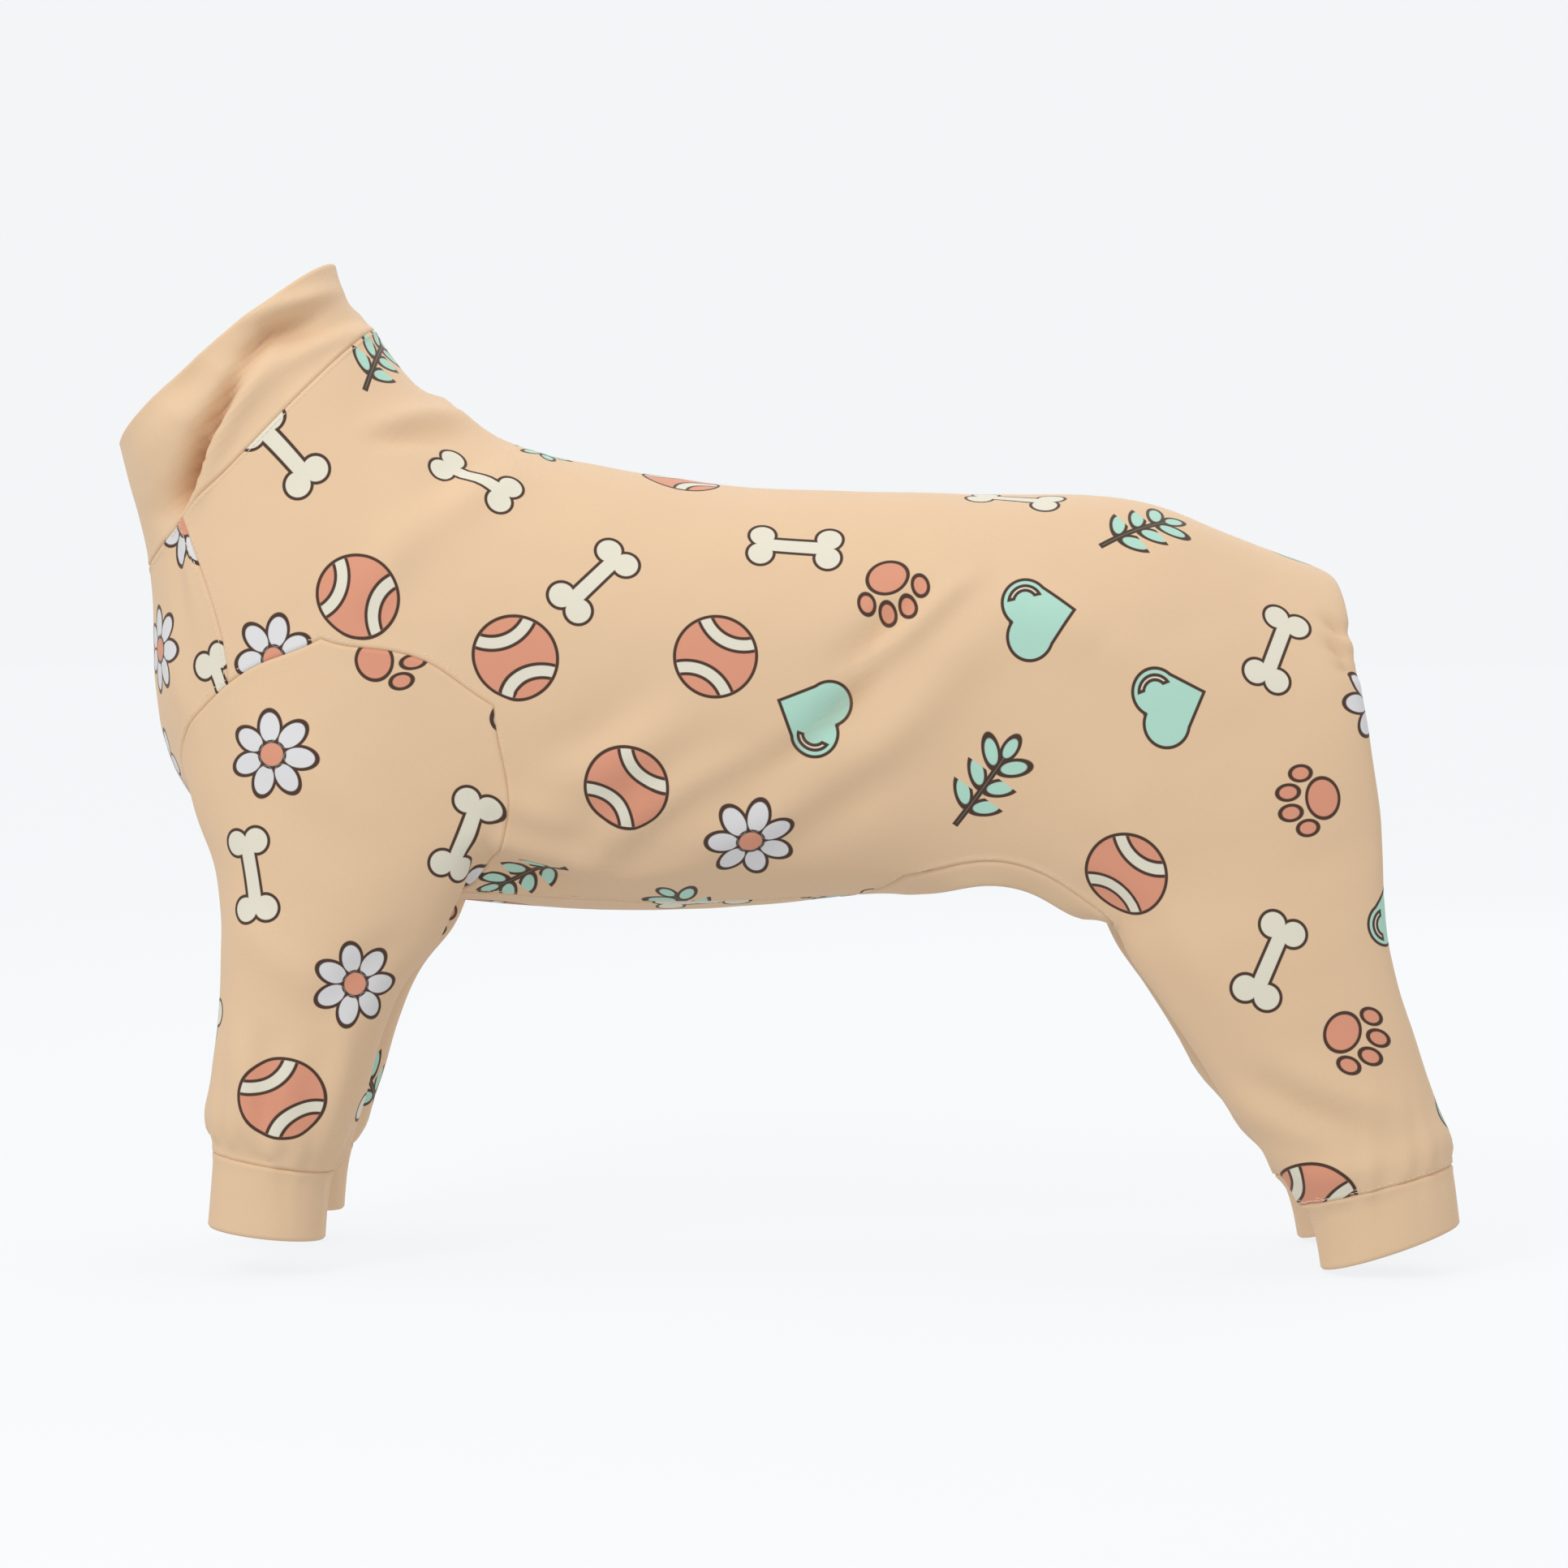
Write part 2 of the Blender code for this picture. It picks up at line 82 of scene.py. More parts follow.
# Torso rings from the collar's rim to the tail. Each runs from a point on the back, over the widest
# place, to a low point. along and height are shares of LENGTH and HEIGHT, wide and low_wide shares
# of half of CHEST_WIDTH, and round is 1 for an ellipse and less for a squarer ring.
TORSO = (
    # name, back_along, back_height, low_along, low_height, wide, low_wide, round
    ("rim", -0.335, 0.228, -0.493, 0.048, 0.66, 0.0, 1.00),
    ("collar", -0.330, 0.192, -0.480, -0.013, 0.70, 0.0, 1.00),
    ("collar_seam", -0.305, 0.164, -0.470, -0.078, 0.77, 0.0, 0.98),
    ("throat", -0.282, 0.112, -0.469, -0.145, 0.85, 0.0, 0.96),
    ("shoulder", -0.245, 0.068, -0.469, -0.215, 0.93, 0.0, 0.94),
    ("withers", -0.192, 0.040, -0.461, -0.290, 0.99, 0.0, 0.92),
    ("chest", -0.142, 0.026, -0.425, -0.352, 1.00, 0.0, 0.92),
    ("girth", -0.098, 0.017, -0.335, -0.397, 1.00, 0.0, 0.92),
    ("ribs", -0.049, 0.007, -0.240, -0.416, 0.98, 0.0, 0.92),
    ("waist", 0.005, 0.001, -0.134, -0.425, 0.95, 0.0, 0.90),
    ("loin", 0.066, -0.002, -0.031, -0.421, 0.91, 0.0, 0.88),
    ("belly", 0.130, -0.003, 0.057, -0.410, 0.88, 0.0, 0.84),
    ("flank", 0.182, -0.003, 0.139, -0.363, 0.88, 0.70, 0.84),
    ("stifle", 0.230, -0.004, 0.192, -0.373, 0.90, 0.70, 0.86),
    ("thigh", 0.276, -0.012, 0.240, -0.434, 0.92, 0.68, 0.88),
    ("hip", 0.318, -0.036, 0.295, -0.407, 0.93, 0.88, 0.90),
    ("rump", 0.366, -0.062, 0.361, -0.374, 0.90, 0.90, 0.90),
    ("seat", 0.403, -0.079, 0.432, -0.352, 0.78, 0.76, 0.90),
    ("seat_back", 0.413, -0.090, 0.443, -0.335, 0.64, 0.62, 0.90),
    ("tail_edge", 0.410, -0.108, 0.418, -0.310, 0.50, 0.47, 0.90),
)
RING = {row[0]: i for i, row in enumerate(TORSO)}
CLOSED = RING["belly"]

# Grid rows from the back to the underside: of a closed ring, and of one open below. The armhole
# starts at SHOULDER_ROW, the chest panel at CHEST_ROW and the strip under the belly at STRIP_ROW.
ROWS = 10
OPEN_ROWS = 8
SHOULDER_ROW = 5
CHEST_ROW = 7
STRIP_ROW = 9
SLIDES = 8
WAY_PASSES = 4
NORMAL_PASSES = 5
LEVELS = 3
INNER_SIDE = 0.75

# The armhole, seen from the side, at the grid points that it takes. The first row is at the front,
# and it runs over the shoulder, down behind the elbow and back under the chest.
ARMHOLE = (
    # ring, row, along, height
    ("withers", 8, -0.441, -0.238),
    ("withers", 7, -0.397, -0.177),
    ("withers", 6, -0.367, -0.157),
    ("withers", 5, -0.336, -0.146),
    ("chest", 5, -0.296, -0.142),
    ("girth", 5, -0.258, -0.160),
    ("ribs", 5, -0.231, -0.204),
    ("ribs", 6, -0.216, -0.255),
    ("ribs", 7, -0.210, -0.301),
    ("ribs", 8, -0.224, -0.346),
    ("ribs", 9, -0.251, -0.394),
    ("girth", 9, -0.315, -0.383),
    ("chest", 9, -0.390, -0.344),
    ("withers", 9, -0.441, -0.286),
)
CHEST_SEAM = (
    # ring, row, along, height
    ("throat", 7, -0.424, -0.066),
    ("shoulder", 7, -0.405, -0.130),
)

# Front of the opening under the belly: the grid points that its seam takes
BELLY_EDGE = (
    # row, along, height, across (share of half of CHEST_WIDTH)
    (8, 0.104, -0.383, 0.56),
    (9, 0.070, -0.399, 0.30),
    (10, 0.050, -0.403, 0.0),
)
# Seam of the opening along the inside of the thigh, from the tail forwards
THIGH_EDGE = (
    # along, height, across (share of half of LEG_SPACING)
    (0.386, -0.345, 0.68),
    (0.348, -0.378, 0.66),
    (0.307, -0.402, 0.70),
    (0.265, -0.407, 0.57),
)

# Leg rings below the armhole and the thigh. long and wide are shares of the leg's two top sizes,
# across a share of half of LEG_SPACING. tilt lifts the ring's rear and roll its outer side, in degrees.
SLEEVE = (
    # along, height, long, wide, across, tilt, roll
    (-0.330, -0.392, 0.87, 1.00, 1.05, -12.0, 20.0),
    (-0.341, -0.460, 0.69, 0.97, 1.02, -4.0, 8.0),
    (-0.356, -0.540, 0.59, 0.91, 1.00, 0.0, 0.0),
    (-0.367, -0.620, 0.57, 0.93, 0.99, -3.0, 0.0),
)
SLEEVE_EASE = 1.05
FRONT_CUFF = {
    "along": -0.3755,
    "height": -0.654,
    "across": 0.98,
    "lean": -4.0,
    "tilts": (-12.0, -7.0),
}
THIGH = (
    # along, height, long, wide, across, tilt, roll
    (0.345, -0.446, 1.11, 1.00, 1.06, 11.0, 0.0),
    (0.377, -0.530, 0.94, 0.99, 1.03, 11.0, 0.0),
    (0.412, -0.618, 0.80, 1.04, 1.00, 12.0, 0.0),
)
HIND_CUFF = {
    "along": 0.440,
    "height": -0.684,
    "across": 0.98,
    "lean": 8.0,
    "tilts": (14.0, 19.0),
}

# Pieces, each a panel of the one worn surface
PANELS = (
    "collar",
    "chest_panel",
    "body_panel",
    "sleeve",
    "opening_binding",
    "cuff_front",
    "cuff_hind",
)
WALLS = {
    "collar": COLLAR_WALL,
    "chest_panel": JERSEY_WALL,
    "body_panel": JERSEY_WALL,
    "sleeve": JERSEY_WALL,
    "opening_binding": BAND_WALL,
    "cuff_front": CUFF_WALL,
    "cuff_hind": CUFF_WALL,
}

# Folds seen from the side, as lines through a few places. rise is a share of FOLD_DEPTH, outwards
# where it is positive, and the half width runs from one share of LENGTH to another.
FOLDS = (
    # name, rise, half_width_from, half_width_to, ((along, height), ...)
    ("collar_crease", -1.00, 0.0093, 0.0057, ((-0.451, -0.022), (-0.439, 0.001), (-0.430, 0.023), (-0.423, 0.049), (-0.412, 0.074), (-0.400, 0.100))),
    ("collar_crease_top", -0.45, 0.0057, 0.0057, ((-0.417, 0.060), (-0.400, 0.100), (-0.387, 0.132), (-0.373, 0.155), (-0.347, 0.171))),
    ("collar_crease_lip", 0.50, 0.0086, 0.0071, ((-0.440, -0.026), (-0.426, 0.001), (-0.417, 0.031), (-0.405, 0.061), (-0.387, 0.101), (-0.373, 0.133))),
    ("collar_front_lobe", 0.45, 0.0200, 0.0129, ((-0.463, 0.006), (-0.457, 0.038), (-0.446, 0.066), (-0.427, 0.094), (-0.407, 0.124))),
    ("collar_front_dent", -0.45, 0.0171, 0.0143, ((-0.419, 0.124), (-0.433, 0.099), (-0.442, 0.076))),
    ("rim_ridge", 0.42, 0.0071, 0.0086, ((-0.393, 0.166), (-0.374, 0.176), (-0.354, 0.184), (-0.336, 0.195))),
    ("rim_valley", -0.32, 0.0086, 0.0100, ((-0.386, 0.157), (-0.366, 0.165), (-0.342, 0.174))),
    ("collar_hem_ridge", 0.34, 0.0071, 0.0086, ((-0.299, 0.160), (-0.314, 0.157), (-0.335, 0.146), (-0.351, 0.135), (-0.367, 0.121), (-0.377, 0.103), (-0.388, 0.086))),
    ("collar_hem_valley", -0.26, 0.0086, 0.0100, ((-0.309, 0.169), (-0.330, 0.159), (-0.352, 0.146), (-0.370, 0.130))),
    ("nape_ridge", 0.24, 0.0114, 0.0129, ((-0.290, 0.076), (-0.265, 0.072), (-0.230, 0.062), (-0.193, 0.047))),
    ("neck_ridge", 0.26, 0.0129, 0.0171, ((-0.248, -0.028), (-0.222, 0.001), (-0.191, 0.020))),
    ("neck_valley", -0.22, 0.0143, 0.0143, ((-0.263, -0.003), (-0.236, 0.021), (-0.206, 0.037))),
    ("shoulder_ridge", 0.24, 0.0200, 0.0171, ((-0.315, -0.125), (-0.291, -0.079), (-0.260, -0.026))),
    ("chest_pleat", 0.22, 0.0071, 0.0071, ((-0.436, -0.031), (-0.433, -0.075), (-0.427, -0.131))),
    ("chest_pleat_two", -0.20, 0.0071, 0.0071, ((-0.442, -0.034), (-0.439, -0.078), (-0.434, -0.123))),
    ("flank_ridge", 0.52, 0.0200, 0.0257, ((-0.097, -0.359), (-0.057, -0.343), (-0.017, -0.326), (0.009, -0.297), (0.032, -0.267), (0.068, -0.244), (0.094, -0.207), (0.120, -0.169), (0.172, -0.106))),
    ("flank_valley", -0.46, 0.0171, 0.0200, ((-0.039, -0.311), (-0.003, -0.294), (0.038, -0.253), (0.063, -0.219), (0.097, -0.169))),
    ("flank_valley_low", -0.30, 0.0171, 0.0171, ((-0.039, -0.361), (0.009, -0.335), (0.050, -0.300), (0.085, -0.264))),
    ("rib_ridge", 0.36, 0.0186, 0.0200, ((-0.162, -0.295), (-0.133, -0.272), (-0.095, -0.238), (-0.068, -0.210))),
    ("rib_valley", -0.24, 0.0171, 0.0171, ((-0.168, -0.260), (-0.133, -0.236), (-0.097, -0.202))),
    ("loin_ridge", 0.20, 0.0171, 0.0171, ((0.085, -0.115), (0.103, -0.098), (0.126, -0.074))),
    ("hip_edge", 0.30, 0.0200, 0.0200, ((0.179, -0.112), (0.203, -0.131), (0.230, -0.157))),
    ("thigh_ridge", 0.26, 0.0200, 0.0200, ((0.252, -0.320), (0.280, -0.408), (0.316, -0.484), (0.351, -0.543))),
    ("thigh_valley", -0.22, 0.0171, 0.0171, ((0.227, -0.360), (0.257, -0.432), (0.293, -0.500))),
    ("armpit_fold", 0.50, 0.0114, 0.0143, ((-0.220, -0.339), (-0.192, -0.347), (-0.156, -0.361), (-0.121, -0.379))),
    ("armpit_valley", -0.42, 0.0114, 0.0114, ((-0.223, -0.361), (-0.192, -0.369), (-0.157, -0.380), (-0.127, -0.390))),
    ("elbow_fold", 0.30, 0.0114, 0.0143, ((-0.208, -0.300), (-0.180, -0.315), (-0.144, -0.329))),
    ("pucker_one", -0.34, 0.0043, 0.0043, ((0.397, -0.126), (0.416, -0.144))),
    ("pucker_two", -0.34, 0.0043, 0.0043, ((0.397, -0.148), (0.417, -0.168))),
    ("pucker_three", -0.28, 0.0043, 0.0043, ((0.405, -0.170), (0.420, -0.182))),
    ("hock_fold_one", 0.30, 0.0129, 0.0129, ((0.321, -0.583), (0.351, -0.613), (0.399, -0.641))),
    ("hock_valley_one", -0.26, 0.0114, 0.0114, ((0.339, -0.575), (0.375, -0.604), (0.422, -0.628))),
    ("hock_fold_two", 0.26, 0.0129, 0.0129, ((0.357, -0.559), (0.399, -0.588), (0.443, -0.609))),
    ("hock_fold_three", 0.30, 0.0114, 0.0114, ((0.351, -0.647), (0.388, -0.668), (0.434, -0.663))),
    ("sleeve_fold_one", 0.26, 0.0100, 0.0100, ((-0.394, -0.526), (-0.390, -0.574), (-0.387, -0.631))),
    ("sleeve_valley", -0.24, 0.0086, 0.0086, ((-0.377, -0.542), (-0.376, -0.589), (-0.374, -0.639))),
    ("sleeve_fold_two", 0.24, 0.0100, 0.0100, ((-0.357, -0.550), (-0.361, -0.597), (-0.361, -0.643))),
    ("sleeve_fold_rear", 0.26, 0.0100, 0.0100, ((-0.316, -0.527), (-0.325, -0.582), (-0.333, -0.638))),
    ("elbow_ridge", 0.22, 0.0143, 0.0143, ((-0.392, -0.415), (-0.369, -0.455), (-0.333, -0.483))),
    ("elbow_valley", -0.20, 0.0129, 0.0129, ((-0.274, -0.431), (-0.304, -0.463), (-0.333, -0.510))),
    ("upper_sleeve_ridge", 0.20, 0.0200, 0.0171, ((-0.391, -0.232), (-0.356, -0.264), (-0.315, -0.311))),
    ("collar_slit", -0.80, 0.0064, 0.0050, ((-0.443, -0.020), (-0.432, 0.012), (-0.424, 0.041))),
    ("rim_fold", -0.26, 0.0071, 0.0071, ((-0.401, 0.129), (-0.376, 0.147), (-0.342, 0.160))),
    ("withers_fold", 0.32, 0.0071, 0.0071, ((-0.301, 0.062), (-0.274, 0.068), (-0.239, 0.066), (-0.215, 0.058))),
    ("withers_valley", -0.30, 0.0071, 0.0071, ((-0.298, 0.048), (-0.268, 0.053), (-0.233, 0.048))),
    ("flank_crease_high", 0.40, 0.0086, 0.0086, ((0.056, -0.178), (0.085, -0.145), (0.120, -0.104), (0.138, -0.086))),
    ("flank_crease_dip", -0.36, 0.0086, 0.0086, ((0.038, -0.177), (0.070, -0.139), (0.103, -0.101))),
    ("flank_crease_low", 0.42, 0.0100, 0.0100, ((-0.151, -0.375), (-0.121, -0.335), (-0.100, -0.313), (-0.068, -0.284), (-0.038, -0.262))),
    ("flank_crease_mid", -0.40, 0.0086, 0.0086, ((-0.021, -0.280), (0.014, -0.247), (0.050, -0.201), (0.079, -0.158))),
    ("belly_fold", 0.22, 0.0100, 0.0100, ((-0.164, -0.391), (-0.110, -0.378), (-0.051, -0.364))),
    ("stifle_fold", 0.18, 0.0114, 0.0114, ((0.215, -0.360), (0.240, -0.376), (0.268, -0.408))),
    ("chest_wave", 0.20, 0.0100, 0.0100, ((-0.445, -0.155), (-0.439, -0.195), (-0.428, -0.236))),
)


def blended_row(place):
    """The torso ring at a place between two rows of the table, on a smooth curve through them."""
    last = CLOSED
    first = min(int(place), last - 1)
    part = place - first
    numbers = [np.array(TORSO[min(max(i, 0), last)][1:]) for i in range(first - 1, first + 3)]
    before, start, end, after = numbers
    bend = (2 * before - 5 * start + 4 * end - after) * part**2
    twist = (3 * start - before - 3 * end + after) * part**3
    return 0.5 * (2 * start + (end - before) * part + bend + twist)


def ring_point(row, turn):
    """A point of a torso ring: turn is 0 on the back and 1 at its low end."""
    back_along, back_height, low_along, low_height, wide, low_wide, roundness = row
    end = math.pi - math.asin(min(low_wide / wide, 1.0) ** (1 / roundness))
    angle = turn * end

    def bowed(value):
        return math.copysign(abs(value) ** roundness, value)

    drop = (1 - bowed(math.cos(angle))) / (1 - bowed(math.cos(end)))
    return np.array((
        LENGTH * (back_along + (low_along - back_along) * drop),
        -CHEST_WIDTH / 2 * wide * max(math.sin(angle), 0.0) ** roundness,
        HEIGHT * (back_height + (low_height - back_height) * drop),
    ))


def torso_places():
    """(ring, turn) of each grid point of the closed rings, slid so that the seams lie on grid lines."""
    step = 0.05
    rings = np.arange(0, CLOSED + step / 2, step)
    turns = np.linspace(0, 1, 101)
    table = np.array([[ring_point(blended_row(r), t) for t in turns] for r in rings])

    def seen_at(along, height):
        gap = (table[:, :, 0] - along * LENGTH) ** 2 + (table[:, :, 2] - height * HEIGHT) ** 2
        i, j = np.unravel_index(np.argmin(gap), gap.shape)
        return np.array((rings[i], turns[j]))

    places = np.array([[(i, j / ROWS) for j in range(ROWS + 1)] for i in range(CLOSED + 1)])
    held = set()
    for ring, row, along, height in ARMHOLE + CHEST_SEAM:
        places[RING[ring], row] = seen_at(along, height)
        held.add((RING[ring], row))
    first, last = RING["throat"], RING["loin"]
    for _ in range(SLIDES):
        slid = places.copy()
        for i in range(first, last + 1):
            for j in range(2, ROWS):
                if (i, j) not in held:
                    around = places[i - 1, j] + places[i + 1, j] + places[i, j - 1] + places[i, j + 1]
                    slid[i, j] = around / 4
        places = slid
    return places


def in_armhole(i, j):
    """Whether the grid face at ring i and row j lies inside the armhole."""
    return RING["withers"] <= i < RING["ribs"] and SHOULDER_ROW <= j < STRIP_ROW


def leg_ring(centre, long, wide, tilt, roll, angles):
    """Points round a leg: angle 0 at its rear, a quarter turn on its outer side, half at its front."""
    lift = math.radians(tilt)
    lean = math.radians(roll)
    points = []
    for angle in angles:
        ahead = long / 2 * math.cos(angle)
        aside = wide / 2 * math.sin(angle)
        points.append(np.array((
            centre[0] + ahead * math.cos(lift),
            centre[1] - aside * math.cos(lean),
            centre[2] + ahead * math.sin(lift) + aside * math.sin(lean),
        )))
    return points


def angles_round(points, centre, long, wide):
    """The angle of each top point round the leg's axis, from its front over its outer side."""
    angles = [
        math.atan2(-(point[1] - centre[1]) / wide, (point[0] - centre[0]) / long)
        for point in points
    ]
    return np.unwrap([math.pi] + angles)[1:]


def leg_rows(top, table, sizes, ease, cuff, cuff_sizes):
    """Rings of points down a leg, from the one below its top to the cuff's end.

    ease, where there is one, adds a ring halfway to the first that is fuller by that factor.
    """
    long, wide = sizes
    cuff_long, cuff_wide, depth = cuff_sizes

    def place(along, height, across):
        return np.array((along * LENGTH, -across * LEG_SPACING / 2, height * HEIGHT))

    centre = place(*table[0][:2], table[0][4])
    start = angles_round(top, centre, long, wide)
    even = math.pi - 2 * math.pi * np.arange(len(top)) / len(top)
    rows = []
    for i, (along, height, share_long, share_wide, across, tilt, roll) in enumerate(table):
        angles = start + (even - start) * (i + 1) / len(table)
        centre = place(along, height, across)
        rows.append(leg_ring(centre, share_long * long, share_wide * wide, tilt, roll, angles))
    if ease:
        halfway = (np.array(top) + np.array(rows[0])) / 2
        middle = halfway.mean(axis=0)
        rows.insert(0, list(middle + (halfway - middle) * (ease, ease, 1.0)))
    seam = place(cuff["along"], cuff["height"], cuff["across"])
    lean = math.radians(cuff["lean"])
    down = np.array((math.sin(lean), 0.0, -math.cos(lean)))
    for centre, tilt in zip((seam, seam + down * depth), cuff["tilts"]):
        rows.append(leg_ring(centre, cuff_long, cuff_wide, tilt, 0.0, even))
    return rows


def half_cage():
    """The coarse left half of the worn surface: points, faces, the panel of each face, and cuts."""
    points, faces, panels, cuts = [], [], [], []

    def add(point):
        points.append(np.array(point, float))
        return len(points) - 1

    def face(corners, panel):
        faces.append(corners[::-1])
        panels.append(PANELS.index(panel))

    places = torso_places()
    grid = {}
    for i in range(len(TORSO)):
        for j in range(ROWS + 1 if i <= CLOSED else OPEN_ROWS + 1):
            if i < CLOSED:
                point = ring_point(blended_row(places[i, j, 0]), places[i, j, 1])
            elif i == CLOSED:
                point = ring_point(TORSO[i][1:], j / ROWS)
            else:
                point = ring_point(TORSO[i][1:], j / OPEN_ROWS)
            if i == RING["rim"]:
                bow = RIM_BOW * math.sin(math.pi * j / ROWS)
                point = point + (-bow, 0.0, bow)
            if not (RING["withers"] < i < RING["ribs"] and SHOULDER_ROW < j < STRIP_ROW):
                grid[i, j] = add(point)
    for row, along, height, across in BELLY_EDGE:
        edge = (along * LENGTH, -across * CHEST_WIDTH / 2, height * HEIGHT)
        points[grid[CLOSED, row]] = np.array(edge)

    for i in range(len(TORSO) - 1):
        for j in range(ROWS if i < CLOSED else OPEN_ROWS):
            if in_armhole(i, j):
                continue
            if i < RING["collar_seam"]:
                panel = "collar"
            elif i < RING["withers"] and j >= CHEST_ROW or i < CLOSED and j >= STRIP_ROW:
                panel = "chest_panel"
            else:
                panel = "body_panel"
            face((grid[i, j], grid[i + 1, j], grid[i + 1, j + 1], grid[i, j + 1]), panel)

    def leg(top, rows, panel, cuff):
        above = top
        inside = round(INNER_SIDE * len(top))
        for n, row in enumerate(rows):
            below = [add(point) for point in row]
            for k in range(len(top)):
                k_next = (k + 1) % len(top)
                corners = (above[k], above[k_next], below[k_next], below[k])
                face(corners, cuff if n == len(rows) - 1 else panel)
            cuts.append((above[inside], below[inside]))
            above = below

    armhole = [grid[RING[ring], row] for ring, row, _, _ in ARMHOLE]
    rows = leg_rows(
        [points[i] for i in armhole], SLEEVE, (SLEEVE_LONG, SLEEVE_WIDE), SLEEVE_EASE, FRONT_CUFF,
        (FRONT_CUFF_LONG, FRONT_CUFF_WIDE, FRONT_CUFF_DEPTH),
    )
    leg(armhole, rows, "sleeve", "cuff_front")

    outer = [grid[i, OPEN_ROWS] for i in range(RING["thigh"], len(TORSO))]
    inner = [
        add((along * LENGTH, -across * LEG_SPACING / 2, height * HEIGHT))
        for along, height, across in THIGH_EDGE
    ]
    thigh = outer + inner
    rows = leg_rows(
        [points[i] for i in thigh], THIGH, (THIGH_LONG, THIGH_WIDE), None, HIND_CUFF,
        (HIND_CUFF_LONG, HIND_CUFF_WIDE, HIND_CUFF_DEPTH),
    )
    first_below = len(points)
    leg(thigh, rows, "body_panel", "cuff_hind")

    # The seam of the opening, from the belly's centre round to the tail, each point with the one
    # behind it in the cloth, which the band leads away from
    last = len(TORSO) - 1
    front = RING["thigh"]
    edge = [(grid[CLOSED, j], grid[CLOSED - 1, j]) for j in range(ROWS, OPEN_ROWS - 1, -1)]
    edge += [(grid[i, OPEN_ROWS], grid[i, OPEN_ROWS - 1]) for i in range(CLOSED + 1, front)]
    edge += [(grid[front, OPEN_ROWS], grid[front + 1, OPEN_ROWS])]
    edge += [(inner[k], first_below + len(outer) + k) for k in reversed(range(len(inner)))]
    edge += [(grid[last, j], grid[last - 1, j]) for j in range(OPEN_ROWS, -1, -1)]
    ways = np.array([points[here] - points[behind] for here, behind in edge])
    ways /= np.linalg.norm(ways, axis=1, keepdims=True)
    for _ in range(WAY_PASSES):
        ways[1:-1] = (ways[:-2] + 2 * ways[1:-1] + ways[2:]) / 4
        ways /= np.linalg.norm(ways, axis=1, keepdims=True)
    free = []
    for (here, _), way in zip(edge, ways):
        on_centre = points[here][1] == 0.0
        free.append(add(points[here] + BAND_DEPTH * way * (1.0, 0.0 if on_centre else 1.0, 1.0)))
    for k in range(len(edge) - 1):
        face((edge[k][0], edge[k + 1][0], free[k + 1], free[k]), "opening_binding")
    cuts.append((edge[0][0], free[0]))
    cuts += [(grid[i, 0], grid[i + 1, 0]) for i in range(RING["collar_seam"])]
    return points, faces, panels, cuts



PIECE_NAMES = {
    "collar": ("collar",),
    "chest_panel": ("chest_panel",),
    "body_panel": ("body_panel",),
    "sleeve": ("sleeve_left", "sleeve_right"),
    "opening_binding": ("opening_binding",),
    "cuff_front": ("cuff_front_left", "cuff_front_right"),
    "cuff_hind": ("cuff_hind_left", "cuff_hind_right"),
}

# Seams: how deep the cloth dips at a seam, how far it rises beside it, and the widths of the two
# rows of faces beside it
SEAM_DIP = 0.0006
SEAM_PUFF = 0.0004
SEAM_ROWS = (0.0011, 0.0013)
PUCKER = 0.00035
PUCKER_WAVES = 150.0

# Legs above their cuffs: ripples, the fullness over the cuff, and how far up they reach
GATHER_RISE = 0.0011
GATHER_REACH = 0.020
BLOUSE_RISE = 0.0026
BLOUSE_HEIGHT = 0.011
WRINKLE_RISE = 0.0009
FAR_SIDE_SHIFT = (0.012, -0.007)
SIDE_BLEND = 0.018
GROIN = (0.180, 0.064, -0.232)
GROIN_RISE = 0.0050
GROIN_REACH = 0.020

# Stitches
THREAD = 0.00042
STITCH_PITCH = 0.0031
STITCH_LONG = 0.0024

PEACH = (0.820, 0.585, 0.378)
# The dark warm brown below is painted shade, mixed into the cloth's colour in the valleys of its folds
PEACH_PAINTED_SHADE = (0.450, 0.200, 0.080)
INSIDE = (0.830, 0.690, 0.560)


def worn_mesh():
    """The whole worn surface. Its UV map is the flat cut of each panel, in metres."""
    points, faces, panels, seams = half_cage()
    mesh = bpy.data.meshes.new("half_cage")
    mesh.from_pydata([tuple(p) for p in points], [], faces)
    mesh.polygons.foreach_set("material_index", panels)
    for name in PANELS:
        mesh.materials.append(bpy.data.materials.new("panel_" + name))
    cuts = {frozenset(pair) for pair in seams}
    for edge in mesh.edges:
        edge.use_seam = frozenset(edge.vertices) in cuts
    cage = bpy.data.objects.new("half_cage", mesh)
    bpy.context.scene.collection.objects.link(cage)
    mirror = cage.modifiers.new("other side", "MIRROR")
    mirror.use_axis = (False, True, False)
    mirror.merge_threshold = 0.0001
    smooth = cage.modifiers.new("smooth", "SUBSURF")
    smooth.levels = smooth.render_levels = 1
    smooth.use_limit_surface = False
    coarse = bpy.data.meshes.new_from_object(cage.evaluated_get(bpy.context.evaluated_depsgraph_get()))
    cage.modifiers.clear()
    cage.data = coarse
    lay_flat(cage)
    smooth = cage.modifiers.new("smooth", "SUBSURF")
    smooth.levels = smooth.render_levels = LEVELS - 1
    smooth.uv_smooth = "PRESERVE_BOUNDARIES"
    fine = bpy.data.meshes.new_from_object(cage.evaluated_get(bpy.context.evaluated_depsgraph_get()))
    bpy.data.objects.remove(cage, do_unlink=True)
    return fine


